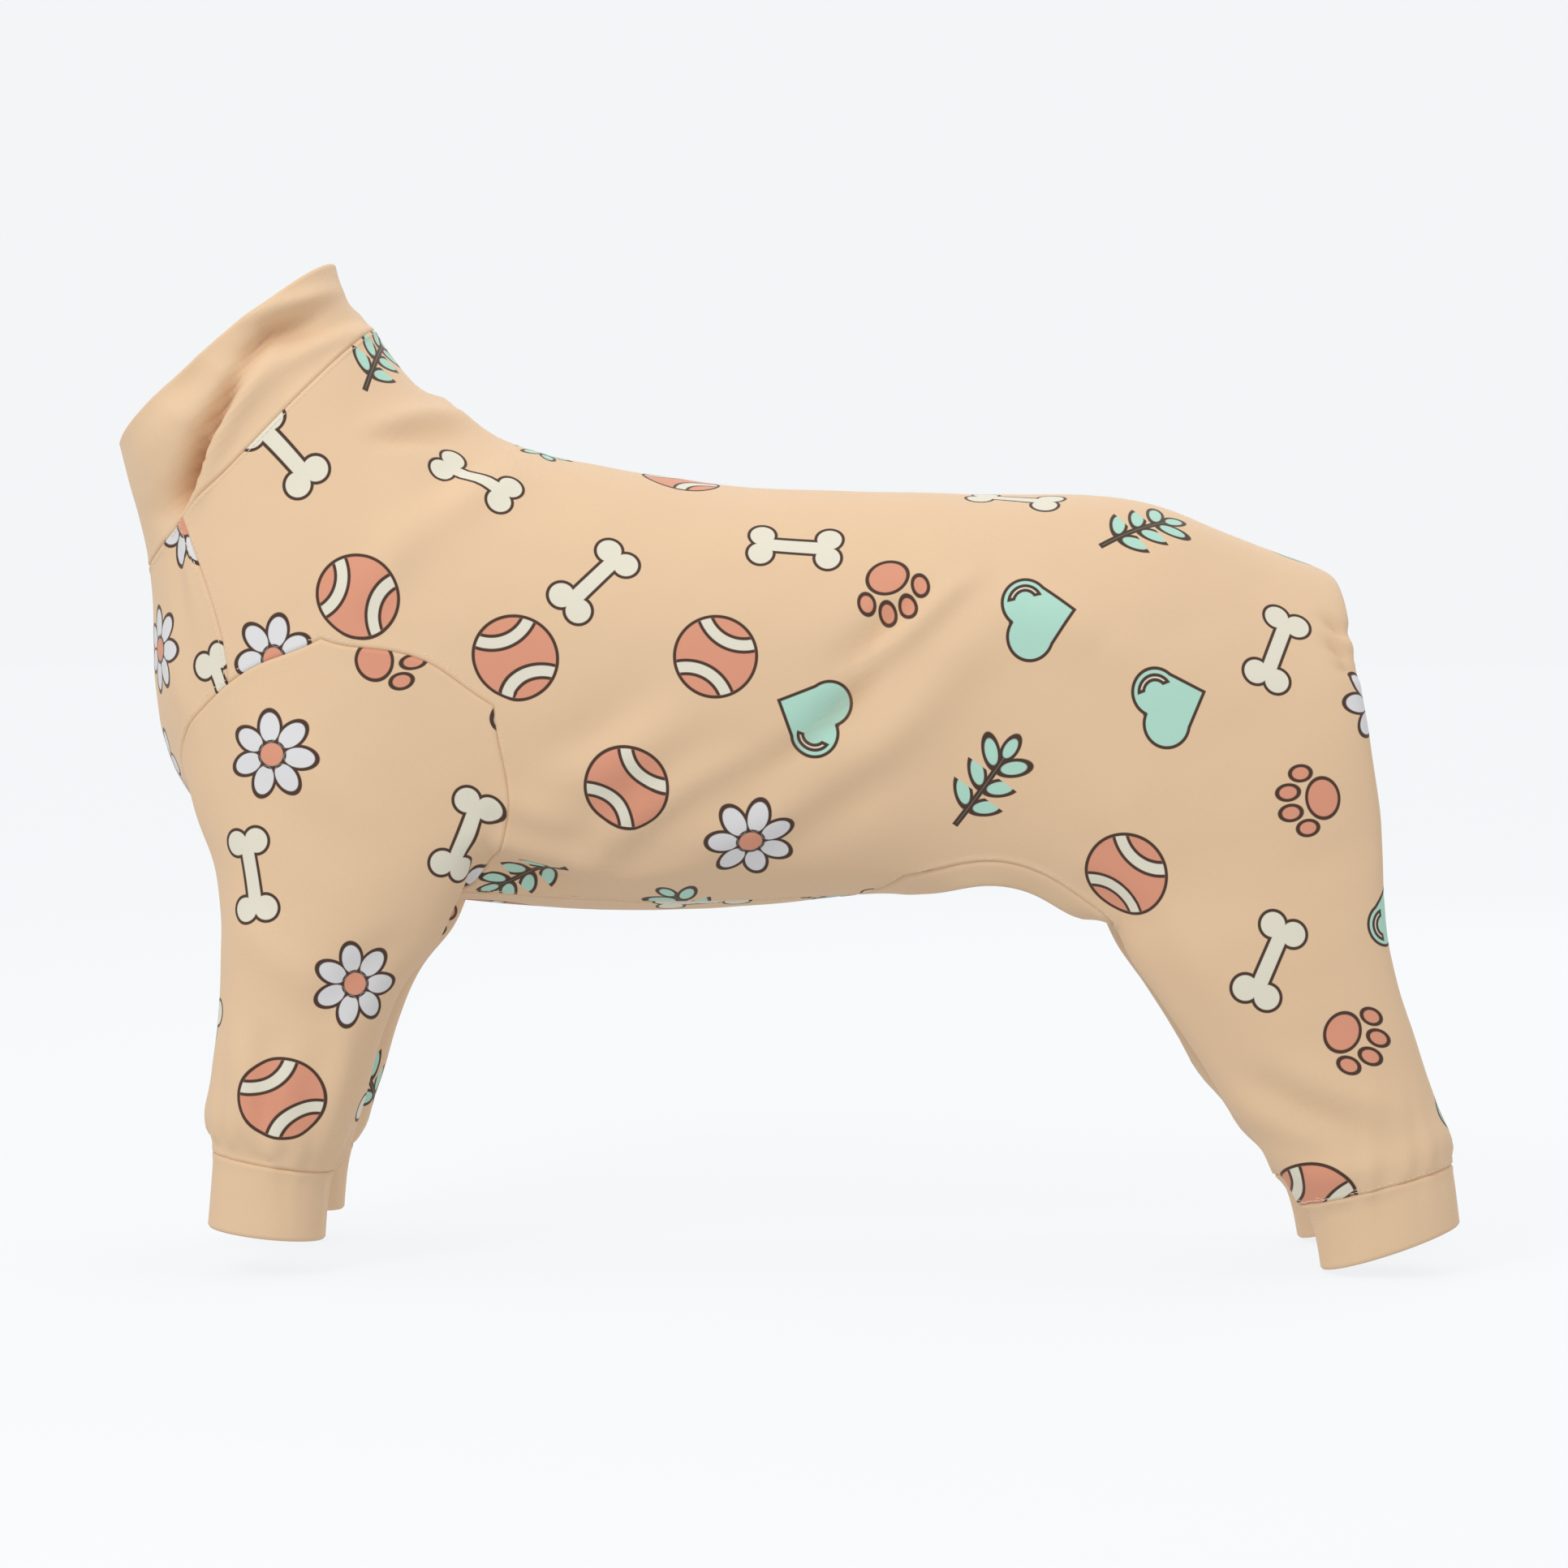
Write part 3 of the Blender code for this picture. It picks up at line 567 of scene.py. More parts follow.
def lay_flat(cage):
    """Gives each panel of the cage its flat cut as a UV map, in metres."""
    mesh = cage.data
    cloth = bmesh.new()
    cloth.from_mesh(mesh)
    cloth.faces.ensure_lookup_table()
    for edge in cloth.edges:
        if len({face.material_index for face in edge.link_faces}) == 2:
            edge.seam = True
    island = [-1] * len(cloth.faces)
    count = 0
    for face in cloth.faces:
        if island[face.index] >= 0:
            continue
        waiting = [face]
        island[face.index] = count
        while waiting:
            one = waiting.pop()
            for edge in one.edges:
                for other in edge.link_faces:
                    if island[other.index] < 0 and other.material_index == one.material_index:
                        island[other.index] = count
                        waiting.append(other)
        count += 1
    cloth.to_mesh(mesh)
    cloth.free()
    mesh.uv_layers.new(name="cut")
    bpy.context.view_layer.objects.active = cage
    cage.select_set(True)
    bpy.ops.object.mode_set(mode="EDIT")
    bpy.ops.mesh.select_all(action="SELECT")
    bpy.ops.uv.unwrap(method="MINIMUM_STRETCH", margin=0.001)
    bpy.ops.object.mode_set(mode="OBJECT")

    spots = np.zeros(len(mesh.loops) * 2)
    mesh.uv_layers["cut"].data.foreach_get("uv", spots)
    spots = spots.reshape(-1, 2)
    whole = np.zeros(count)
    flat = np.zeros(count)
    for face in mesh.polygons:
        corners = spots[list(face.loop_indices)]
        across, along = corners[2] - corners[0], corners[3] - corners[1]
        flat[island[face.index]] += abs(across[0] * along[1] - across[1] * along[0]) / 2
        whole[island[face.index]] += face.area
    loops = np.concatenate([[island[face.index]] * 4 for face in mesh.polygons])
    order = np.concatenate([list(face.loop_indices) for face in mesh.polygons])
    for number in range(count):
        here = order[loops == number]
        centre = spots[here].mean(axis=0)
        scale = math.sqrt(whole[number] / flat[number])
        spots[here] = (spots[here] - centre) * scale + (0.37 * number, 0.61 * number)
    mesh.uv_layers["cut"].data.foreach_set("uv", spots.ravel())


def normals_of(places, corners, passes=0):
    """Outward normals at the points of a four-sided mesh, evened out with their neighbours' passes times."""
    across = places[corners[:, 2]] - places[corners[:, 0]]
    along = places[corners[:, 3]] - places[corners[:, 1]]
    face_normals = np.cross(across, along)
    normals = np.zeros_like(places)
    for k in range(4):
        np.add.at(normals, corners[:, k], face_normals)
    normals /= np.maximum(np.linalg.norm(normals, axis=1, keepdims=True), 1e-12)
    for _ in range(passes):
        around = normals[corners].sum(axis=1)
        for k in range(4):
            np.add.at(normals, corners[:, k], around)
        normals /= np.maximum(np.linalg.norm(normals, axis=1, keepdims=True), 1e-12)
    return normals


def one_side(seen):
    """How far the folds push points outwards, from where a side view shows the points."""
    rise = np.zeros(len(seen))
    for _, height, width_from, width_to, line in FOLDS:
        line = np.array(line) * (LENGTH, HEIGHT)
        lengths = np.linalg.norm(np.diff(line, axis=0), axis=1)
        so_far = np.concatenate([[0], np.cumsum(lengths)])
        nearest = np.full(len(seen), np.inf)
        place = np.zeros(len(seen))
        for start, end, before, length in zip(line, line[1:], so_far, lengths):
            share = np.clip((seen - start) @ (end - start) / length**2, 0, 1)
            away = np.linalg.norm(seen - start - share[:, None] * (end - start), axis=1)
            closer = away < nearest
            nearest[closer] = away[closer]
            place[closer] = (before + share[closer] * length) / so_far[-1]
        width = (width_from + (width_to - width_from) * place) * LENGTH
        fade = np.sin(np.pi * (0.08 + 0.84 * place)) ** 0.8
        rise += height * FOLD_DEPTH * fade * np.exp(-((nearest / width) ** 2))
    return rise


def fold_rise(places):
    """The folds of both sides, run together over the back."""
    seen = places[:, (0, 2)]
    near = one_side(seen)
    far = one_side(seen + FAR_SIDE_SHIFT)
    share = np.clip((places[:, 1] + SIDE_BLEND) / (2 * SIDE_BLEND), 0, 1)
    share = share**2 * (3 - 2 * share)
    return near * (1 - share) + far * share


def leg_seam(cuff, side):
    """Centre of the seam between a leg and its cuff, and the way down the cuff."""
    centre = np.array((cuff["along"] * LENGTH, side * cuff["across"] * LEG_SPACING / 2, cuff["height"] * HEIGHT))
    lean = math.radians(cuff["lean"])
    tilt = math.radians(cuff["tilts"][0])
    return centre, np.array((math.sin(lean), 0.0, -math.cos(lean))), tilt


def gather_rise(places):
    """Ripples and fullness of each leg above its cuff."""
    rise = np.zeros(len(places))
    for number, (cuff, side) in enumerate(((FRONT_CUFF, -1), (FRONT_CUFF, 1), (HIND_CUFF, -1), (HIND_CUFF, 1))):
        centre, down, tilt = leg_seam(cuff, side)
        away = places - centre
        above = -(away @ down) + away[:, 0] * math.tan(tilt) * -1.0
        round_it = np.arctan2(away[:, 1], away[:, 0])
        near = (np.linalg.norm(away[:, :2], axis=1) < 0.075) & (above > -0.060) & (above < 0.12)
        phase = 1.7 * number
        ripple = np.sin(11 * round_it + phase) + 0.7 * np.sin(17 * round_it + 2.3 * phase + 1.1)
        ripple += 0.5 * np.sin(7 * round_it - phase)
        up = np.maximum(above, 0)
        fullness = BLOUSE_RISE * np.exp(-(((above - BLOUSE_HEIGHT) / BLOUSE_HEIGHT) ** 2))
        fullness *= 0.75 + 0.25 * np.sin(3 * round_it + phase)
        waves = GATHER_RISE * ripple * np.exp(-up / GATHER_REACH) * np.clip(above / 0.003, 0, 1)
        rise += np.where(near & (above > 0), waves + fullness, 0)
        on_cuff = np.clip(-above / 0.004, 0, 1) * np.exp(np.minimum(above, 0) / 0.016)
        rise += np.where(near & (above <= 0), 0.35 * GATHER_RISE * ripple * on_cuff, 0)
    return rise


def wrinkle_rise(places):
    """Slight unevenness of the hanging cloth."""
    rise = np.zeros(len(places))
    for i, (x, y, z) in enumerate(places):
        broad = noise.noise(Vector((x * 14 + z * 9, y * 12, z * 20 - x * 8)))
        narrow = noise.noise(Vector((x * 34 + z * 22 + 5, y * 26, z * 48 - x * 20)))
        rise[i] = WRINKLE_RISE * (broad + 0.45 * narrow)
    return rise


def groin_rise(places):
    """Fullness where the band, the thigh and the belly meet."""
    away = np.linalg.norm(np.abs(places) - np.abs(GROIN), axis=1)
    return GROIN_RISE * np.exp(-((away / GROIN_REACH) ** 2))


def worn_cloth():
    """The worn surface with its folds, and what each of its points needs for the panels."""
    mesh = worn_mesh()
    places = np.zeros(len(mesh.vertices) * 3)
    mesh.vertices.foreach_get("co", places)
    places = places.reshape(-1, 3)
    corners = np.array([tuple(face.vertices) for face in mesh.polygons])
    panel = np.array([face.material_index for face in mesh.polygons])
    folds = fold_rise(places)
    rise = JERSEY_WALL + folds + gather_rise(places) + wrinkle_rise(places) + groin_rise(places)
    start = normals_of(places, corners, 2)
    places = places + start * rise[:, None]
    top = np.where(places[:, 2] > -HEIGHT / 4)[0]
    back = places[top[np.argmin(np.hypot(places[top, 0], places[top, 1]))]]
    places[:, 2] += JERSEY_WALL - back[2]
    mesh.vertices.foreach_set("co", places.ravel())
    meets = np.zeros(len(places), int)
    for k in range(4):
        np.bitwise_or.at(meets, corners[:, k], 1 << panel)
    master = mesh.attributes.new("master", "FLOAT_VECTOR", "POINT")
    master.data.foreach_set("vector", normals_of(places, corners).ravel())
    mesh.attributes.new("meets", "INT", "POINT").data.foreach_set("value", meets)
    mesh.attributes.new("fold", "FLOAT", "POINT").data.foreach_set("value", folds / FOLD_DEPTH)
    mesh.update()
    return mesh


def profile(kind, row, wall, pucker):
    """Rise of a point beside a panel's edge. row is 0 on the edge, 1 and 2 next to it."""
    if kind == "free":
        return (-0.32 * wall, -0.04 * wall, 0.0)[row]
    return (-SEAM_DIP, SEAM_PUFF + pucker, 0.5 * SEAM_PUFF + 0.8 * pucker)[row]


def panel_mesh(source, index, side, wall, rows):
    """Cuts one panel out of the worn cloth, with rows of faces beside its edges."""
    cloth = bmesh.new()
    cloth.from_mesh(source)
    others = [
        face for face in cloth.faces
        if face.material_index != index or side and face.calc_center_median().y * side < 0
    ]
    bmesh.ops.delete(cloth, geom=others, context="FACES")
    region = cloth.faces[:]
    bordering = {vert for vert in cloth.verts if vert.is_boundary}
    levels = {vert: 0 for vert in bordering}
    for number, width in enumerate(rows):
        made = bmesh.ops.inset_region(
            cloth, faces=region, use_boundary=True, use_even_offset=True, use_interpolate=True,
            thickness=width,
        )
        ring = set(made["faces"])
        for face in ring:
            for edge in face.edges:
                if any(other not in ring for other in edge.link_faces):
                    for vert in edge.verts:
                        levels[vert] = max(levels.get(vert, 0), number + 1)
    for vert in cloth.verts:
        if vert.is_boundary:
            levels[vert] = 0
    cloth.normal_update()
    return cloth, levels


def stitched_out(cloth, levels, index, wall):
    """Shapes the cloth beside its seams and edges, then returns its arrays."""
    master = cloth.verts.layers.float_vector["master"]
    meets = cloth.verts.layers.int["meets"]
    fold = cloth.verts.layers.float["fold"]
    cut = cloth.loops.layers.uv["cut"]
    cloth.verts.ensure_lookup_table()
    cloth.verts.index_update()
    count = len(cloth.verts)
    places = np.array([vert.co for vert in cloth.verts])
    normals = np.array([vert.normal for vert in cloth.verts])
    kinds = ["seam" if vert[meets] != 1 << index else "free" for vert in cloth.verts]
    rise = np.zeros(count)
    for vert, row in levels.items():
        i = vert.index
        if row == 0:
            normals[i] = vert[master]
        x, y, z = places[i]
        pucker = PUCKER * noise.noise(Vector((x, y, z)) * PUCKER_WAVES)
        rise[i] = profile(kinds[i], row, wall, pucker)
    places += normals * rise[:, None]
    faces = [[vert.index for vert in face.verts] for face in cloth.faces]
    spots = [[tuple(loop[cut].uv) for loop in face.loops] for face in cloth.faces]
    folds = np.array([vert[fold] for vert in cloth.verts])
    levels_at = np.full(count, 9)
    for vert, row in levels.items():
        levels_at[vert.index] = row
    meets_at = np.array([vert[meets] for vert in cloth.verts])
    return places, normals, faces, spots, folds, levels_at, meets_at, kinds


def eased(normals, faces, passes):
    """Normals evened out over the faces."""
    normals = normals.copy()
    index = np.concatenate([[n] * len(face) for n, face in enumerate(faces)])
    at = np.concatenate(faces)
    for _ in range(passes):
        sums = np.zeros((len(faces), 3))
        np.add.at(sums, index, normals[at])
        np.add.at(normals, at, sums[index])
        normals /= np.maximum(np.linalg.norm(normals, axis=1, keepdims=True), 1e-12)
    return normals


def cloth_piece(name, source, index, side, materials):
    """One sewn piece of cloth: outer face, inner face and the edges between them."""
    wall = WALLS[PANELS[index]]
    rows = () if PANELS[index] == "opening_binding" else SEAM_ROWS
    cloth, levels = panel_mesh(source, index, side, wall, rows)
    places, normals, faces, spots, folds, levels_at, meets_at, kinds = stitched_out(cloth, levels, index, wall)
    cloth.free()
    count = len(places)
    inwards = eased(normals, faces, NORMAL_PASSES)
    depth = np.array([
        0.36 * wall if row == 0 and kind == "free" else wall for row, kind in zip(levels_at, kinds)
    ])
    inner = places - inwards * depth[:, None]
    sides = [(face[k], face[(k + 1) % len(face)]) for face in faces for k in range(len(face))]
    both = set(sides)
    all_faces = list(faces)
    uvs = list(spots)
    all_faces += [[i + count for i in face[::-1]] for face in faces]
    uvs += [spot[::-1] for spot in spots]
    for face, spot in zip(faces, spots):
        for k in range(len(face)):
            a, b = face[k], face[(k + 1) % len(face)]
            if (b, a) not in both:
                all_faces.append([b, a, a + count, b + count])
                uvs.append([spot[(k + 1) % len(face)], spot[k], spot[k], spot[(k + 1) % len(face)]])
    mesh = bpy.data.meshes.new(name)
    mesh.from_pydata([tuple(p) for p in np.concatenate([places, inner])], [], all_faces)
    mesh.uv_layers.new(name="cut").data.foreach_set("uv", np.array([s for one in uvs for s in one]).ravel())
    mesh.attributes.new("fold", "FLOAT", "POINT").data.foreach_set("value", np.concatenate([folds, folds]))
    for material in materials:
        mesh.materials.append(material)
    slots = [0] * len(faces) + [1] * len(faces) + [0] * (len(all_faces) - 2 * len(faces))
    mesh.polygons.foreach_set("material_index", slots)
    mesh.shade_smooth()
    piece = bpy.data.objects.new(name + "_cloth", mesh)
    bpy.context.scene.collection.objects.link(piece)
    flat = np.array([s for one in spots for s in one])
    area = 0.0
    for spot in spots:
        spot = np.array(spot)
        x, y = spot[:, 0], spot[:, 1]
        area += abs(np.dot(x, np.roll(y, -1)) - np.dot(y, np.roll(x, -1))) / 2
    size = flat.max(axis=0) - flat.min(axis=0)
    edges = (places, normals, faces, levels_at, meets_at)
    return piece, size, area, edges


class Shader:
    """Short names for the nodes of one material."""

    def __init__(self, name):
        self.material = bpy.data.materials.new(name)
        self.material.use_nodes = True
        self.tree = self.material.node_tree
        self.surface = self.tree.nodes["Principled BSDF"]

    def put(self, socket, value):
        if isinstance(value, bpy.types.NodeSocket):
            self.tree.links.new(value, socket)
        else:
            socket.default_value = value

    def math(self, operation, *values):
        node = self.tree.nodes.new("ShaderNodeMath")
        node.operation = operation
        for socket, value in zip(node.inputs, values):
            self.put(socket, value)
        return node.outputs[0]

    def add(self, a, b):
        return self.math("ADD", a, b)

    def less(self, a, b):
        return self.math("SUBTRACT", a, b)

    def times(self, a, b):
        return self.math("MULTIPLY", a, b)

    def smaller(self, a, b):
        return self.math("MINIMUM", a, b)

    def larger(self, a, b):
        return self.math("MAXIMUM", a, b)

    def size(self, a):
        return self.math("ABSOLUTE", a)

    def length(self, x, y):
        return self.math("SQRT", self.add(self.times(x, x), self.times(y, y)))

    def join(self, x, y, z=0.0):
        node = self.tree.nodes.new("ShaderNodeCombineXYZ")
        for socket, value in zip(node.inputs, (x, y, z)):
            self.put(socket, value)
        return node.outputs[0]

    def split(self, vector):
        node = self.tree.nodes.new("ShaderNodeSeparateXYZ")
        self.put(node.inputs[0], vector)
        return node.outputs

    def mix(self, share, first, second):
        node = self.tree.nodes.new("ShaderNodeMix")
        node.data_type = "RGBA"
        self.put(node.inputs["Factor"], share)
        for socket, value in ((node.inputs[6], first), (node.inputs[7], second)):
            self.put(socket, value if isinstance(value, bpy.types.NodeSocket) else (*value, 1))
        return node.outputs[2]

    def inside(self, distance, soft):
        """1 where the distance is below 0, 0 above, soft across the edge."""
        node = self.tree.nodes.new("ShaderNodeMapRange")
        self.put(node.inputs["Value"], distance)
        self.put(node.inputs["From Min"], soft)
        self.put(node.inputs["From Max"], -soft)
        return node.outputs["Result"]

    def noise(self, vector, scale, detail=2.0, rough=0.5):
        node = self.tree.nodes.new("ShaderNodeTexNoise")
        self.put(node.inputs["Vector"], vector)
        self.put(node.inputs["Scale"], scale)
        self.put(node.inputs["Detail"], detail)
        self.put(node.inputs["Roughness"], rough)
        return node.outputs["Fac"]

    def attribute(self, name):
        node = self.tree.nodes.new("ShaderNodeAttribute")
        node.attribute_name = name
        return node.outputs

    def disc(self, x, y, at_x, at_y, radius):
        return self.less(self.length(self.less(x, at_x), self.less(y, at_y)), radius)

    def oval(self, x, y, at_x, at_y, half_x, half_y):
        away = self.length(
            self.times(self.less(x, at_x), 1 / half_x), self.times(self.less(y, at_y), 1 / half_y)
        )
        return self.times(self.less(away, 1.0), min(half_x, half_y))

    def turned(self, x, y, degrees):
        c, s = math.cos(math.radians(degrees)), math.sin(math.radians(degrees))
        return (
            self.add(self.times(x, c), self.times(y, s)),
            self.less(self.times(y, c), self.times(x, s)),
        )


# Print: a tossed layout of simple motifs on the cloth, in metres on the flat cut
MOTIF_STEP = 0.079
MOTIF_JITTER = 0.42
MOTIF_RADIUS = 0.0265
OUTLINE = 0.031
EDGE_SOFT = 0.008
PRINT_TURN = 24.0

BROWN = (0.075, 0.040, 0.027)
CREAM = (0.800, 0.765, 0.640)
WHITE = (0.760, 0.760, 0.780)
MINT = (0.450, 0.740, 0.620)
SALMON = (0.745, 0.330, 0.215)
MOTIFS = (
    # motif, fill, accent
    ("bone", CREAM, CREAM),
    ("ball", SALMON, CREAM),
    ("sprig", MINT, MINT),
    ("daisy", WHITE, SALMON),
    ("paw", SALMON, SALMON),
    ("heart", MINT, CREAM),
)


def bone(s, x, y):
    """Distance to a bone's outline, negative inside, and its accent."""
    px, py = s.size(x), s.size(y)
    bar = s.larger(s.less(px, 0.62), s.less(py, 0.17))
    ends = s.disc(px, py, 0.66, 0.22, 0.27)
    return s.smaller(bar, ends), None


def ball(s, x, y):
    whole = s.disc(x, y, 0.0, 0.0, 0.78)
    px = s.size(x)
    band = s.less(s.size(s.less(s.length(s.less(px, 1.15), y), 0.80)), 0.13)
    return whole, band


def sprig(s, x, y):
    step = 0.46
    place = s.math("ROUND", s.times(x, 1 / step))
    place = s.larger(s.smaller(place, 1.0), -1.0)
    along = s.less(x, s.times(place, step))
    u, v = s.turned(s.less(along, 0.10), s.less(s.size(y), 0.27), 48.0)
    leaves = s.oval(u, v, 0.0, 0.0, 0.32, 0.15)
    tip = s.oval(x, y, 0.82, 0.0, 0.26, 0.14)
    stem = s.larger(s.less(s.size(y), 0.030), s.less(s.size(s.add(x, 0.10)), 0.88))
    return s.smaller(s.smaller(leaves, tip), stem), None


def daisy(s, x, y):
    angle = s.math("ARCTAN2", y, x)
    step = math.pi / 3.5
    fold = s.less(angle, s.times(s.math("ROUND", s.times(angle, 1 / step)), step))
    away = s.length(x, y)
    u = s.times(away, s.math("COSINE", fold))
    v = s.times(away, s.math("SINE", fold))
    petals = s.oval(u, v, 0.52, 0.0, 0.33, 0.22)
    heart = s.less(away, 0.25)
    return s.smaller(petals, heart), heart


def paw(s, x, y):
    px = s.size(x)
    pad = s.oval(px, y, 0.0, -0.26, 0.40, 0.33)
    toes = s.oval(px, y, 0.20, 0.42, 0.15, 0.22)
    side_toes = s.oval(px, y, 0.54, 0.12, 0.15, 0.21)
    return s.smaller(pad, s.smaller(toes, side_toes)), None


def heart(s, x, y):
    px = s.size(x)
    u, v = s.turned(px, s.add(y, 0.66), 45.0)
    square = s.larger(s.less(s.size(s.less(u, 0.42)), 0.44), s.less(s.size(s.less(v, 0.42)), 0.44))
    lobe = s.disc(px, y, 0.31, 0.22, 0.44)
    shine = s.less(s.size(s.less(s.length(s.less(x, 0.31), s.less(y, 0.22)), 0.27)), 0.045)
    shine = s.larger(shine, s.less(0.10, s.less(x, 0.31)))
    return s.smaller(square, lobe), shine


def printed(s, cut, ground):
    """The ground colour with the motifs of the print over it."""
    turn = s.tree.nodes.new("ShaderNodeVectorRotate")
    s.put(turn.inputs["Vector"], cut)
    s.put(turn.inputs["Angle"], math.radians(PRINT_TURN))
    spot = turn.outputs[0]
    cells = s.tree.nodes.new("ShaderNodeTexVoronoi")
    cells.voronoi_dimensions = "2D"
    s.put(cells.inputs["Vector"], spot)
    s.put(cells.inputs["Scale"], 1 / MOTIF_STEP)
    s.put(cells.inputs["Randomness"], MOTIF_JITTER)
    local = s.tree.nodes.new("ShaderNodeVectorMath")
    local.operation = "SUBTRACT"
    s.put(local.inputs[0], spot)
    s.put(local.inputs[1], cells.outputs["Position"])
    chance = s.split(cells.outputs["Color"])
    spin = s.tree.nodes.new("ShaderNodeVectorRotate")
    s.put(spin.inputs["Vector"], local.outputs[0])
    s.put(spin.inputs["Angle"], s.times(chance[1], 2 * math.pi))
    x, y, _ = s.split(spin.outputs[0])
    x, y = s.times(x, 1 / MOTIF_RADIUS), s.times(y, 1 / MOTIF_RADIUS)
    kind = s.math("FLOOR", s.times(chance[0], len(MOTIFS) - 0.001))
    drawn = {"bone": bone, "ball": ball, "sprig": sprig, "daisy": daisy, "paw": paw, "heart": heart}
    colour = ground
    for number, (motif, fill, accent) in enumerate(MOTIFS):
        here = s.math("COMPARE", kind, float(number), 0.25)
        distance, extra = drawn[motif](s, x, y)
        within = s.times(here, s.inside(s.less(distance, OUTLINE), EDGE_SOFT))
        colour = s.mix(within, colour, BROWN)
        filled = s.inside(s.add(distance, OUTLINE), EDGE_SOFT)
        colour = s.mix(s.times(here, filled), colour, fill)
        if extra is not None:
            line = s.times(filled, s.inside(s.less(extra, OUTLINE), EDGE_SOFT))
            colour = s.mix(s.times(here, line), colour, BROWN)
            both = s.times(filled, s.inside(s.add(extra, OUTLINE), EDGE_SOFT))
            colour = s.mix(s.times(here, both), colour, accent)
    return colour


# Knit: columns and rows of loops a metre, and their height
WALES = 1150.0
COURSES = 900.0
LOOP_HEIGHT = 0.00007


def knit_bump(s, cut, rib):
    """Fine loops of the knit, and a little fuzz."""
    x, y, _ = s.split(cut)
    columns = s.times(x, WALES * 2 * math.pi * (0.5 if rib else 1.0))
    rows = s.times(y, COURSES * 2 * math.pi)
    slant = s.times(s.math("SINE", columns), 1.1)
    loops = s.times(s.math("SINE", s.add(rows, slant)), 0.5)
    wales = s.size(s.math("SINE", s.times(columns, 0.5)))
    fuzz = s.noise(cut, 900.0, 3.0, 0.6)
    height = s.add(s.add(s.times(loops, 0.5), wales), s.times(fuzz, 0.8))
    bump = s.tree.nodes.new("ShaderNodeBump")
    s.put(bump.inputs["Strength"], 0.55)
    s.put(bump.inputs["Distance"], LOOP_HEIGHT * (1.6 if rib else 1.0))
    s.put(bump.inputs["Height"], height)
    return bump.outputs[0], height


def jersey(name, ground, print_it=False, rib=False):
    """Matt cotton jersey, with painted shade, darker and warmer, in the valleys of its folds."""
    s = Shader(name)
    uv = s.tree.nodes.new("ShaderNodeUVMap")
    uv.uv_map = "cut"
    cut = uv.outputs[0]
    fold = s.attribute("fold")[2]
    broad = s.noise(cut, 7.0, 3.0, 0.55)
    fine = s.noise(cut, 420.0, 2.0, 0.6)
    tone = s.add(s.times(s.less(broad, 0.5), 0.16), s.times(s.less(fine, 0.5), 0.10))
    darker = tuple(0.86 * c for c in ground)
    lighter = tuple(min(1.0, 1.10 * c) for c in ground)
    colour = s.mix(s.add(tone, 0.5), darker, lighter)
    if print_it:
        colour = printed(s, cut, colour)
    # Painted shade: the fold valleys' colour is mixed towards a dark warm brown, more strongly the deeper the valley
    crease_shade = s.larger(s.smaller(s.times(s.add(fold, 0.10), -0.95), 1.0), 0.0)
    colour = s.mix(s.times(s.math("POWER", crease_shade, 1.4), 0.85), colour, PEACH_PAINTED_SHADE)
    normal, height = knit_bump(s, cut, rib)
    s.put(s.surface.inputs["Base Color"], colour)
    s.put(s.surface.inputs["Normal"], normal)
    rough = s.add(0.80, s.times(fine, 0.12))
    s.put(s.surface.inputs["Roughness"], rough)
    s.surface.inputs["Specular IOR Level"].default_value = 0.28
    s.surface.inputs["Sheen Weight"].default_value = 0.22
    s.surface.inputs["Sheen Roughness"].default_value = 0.45
    s.surface.inputs["Sheen Tint"].default_value = (1.0, 0.93, 0.86, 1)
    return s.material


def thread_material():
    s = Shader("thread")
    s.surface.inputs["Base Color"].default_value = (0.86, 0.70, 0.53, 1)
    s.surface.inputs["Roughness"].default_value = 0.6
    s.surface.inputs["Sheen Weight"].default_value = 0.1
    return s.material


def chained(pairs):
    """Joins edges end to end into lines of point numbers."""
    beside = {}
    for a, b in pairs:
        beside.setdefault(a, []).append(b)
        beside.setdefault(b, []).append(a)
    lines = []
    used = set()
    starts = [p for p in beside if len(beside[p]) == 1] + list(beside)
    for start in starts:
        if start in used:
            continue
        line = [start]
        used.add(start)
        while True:
            onward = [p for p in beside[line[-1]] if p not in used]
            if not onward:
                break
            line.append(onward[0])
            used.add(onward[0])
        if len(line) > 2:
            if len(beside[start]) == 2 and start in beside[line[-1]]:
                line.append(start)
            lines.append(line)
    return lines


def stitch_lines(edges, level, partner):
    """Lines along a panel's seam with the partner panel, on the row of points of that level."""
    places, normals, faces, levels_at, meets_at = edges
    pairs = set()
    for face in faces:
        for k in range(len(face)):
            a, b = face[k], face[(k + 1) % len(face)]
            if levels_at[a] == level and levels_at[b] == level:
                if meets_at[a] >> partner & 1 and meets_at[b] >> partner & 1:
                    pairs.add((min(a, b), max(a, b)))
    return [(places[line], normals[line]) for line in chained(pairs)]


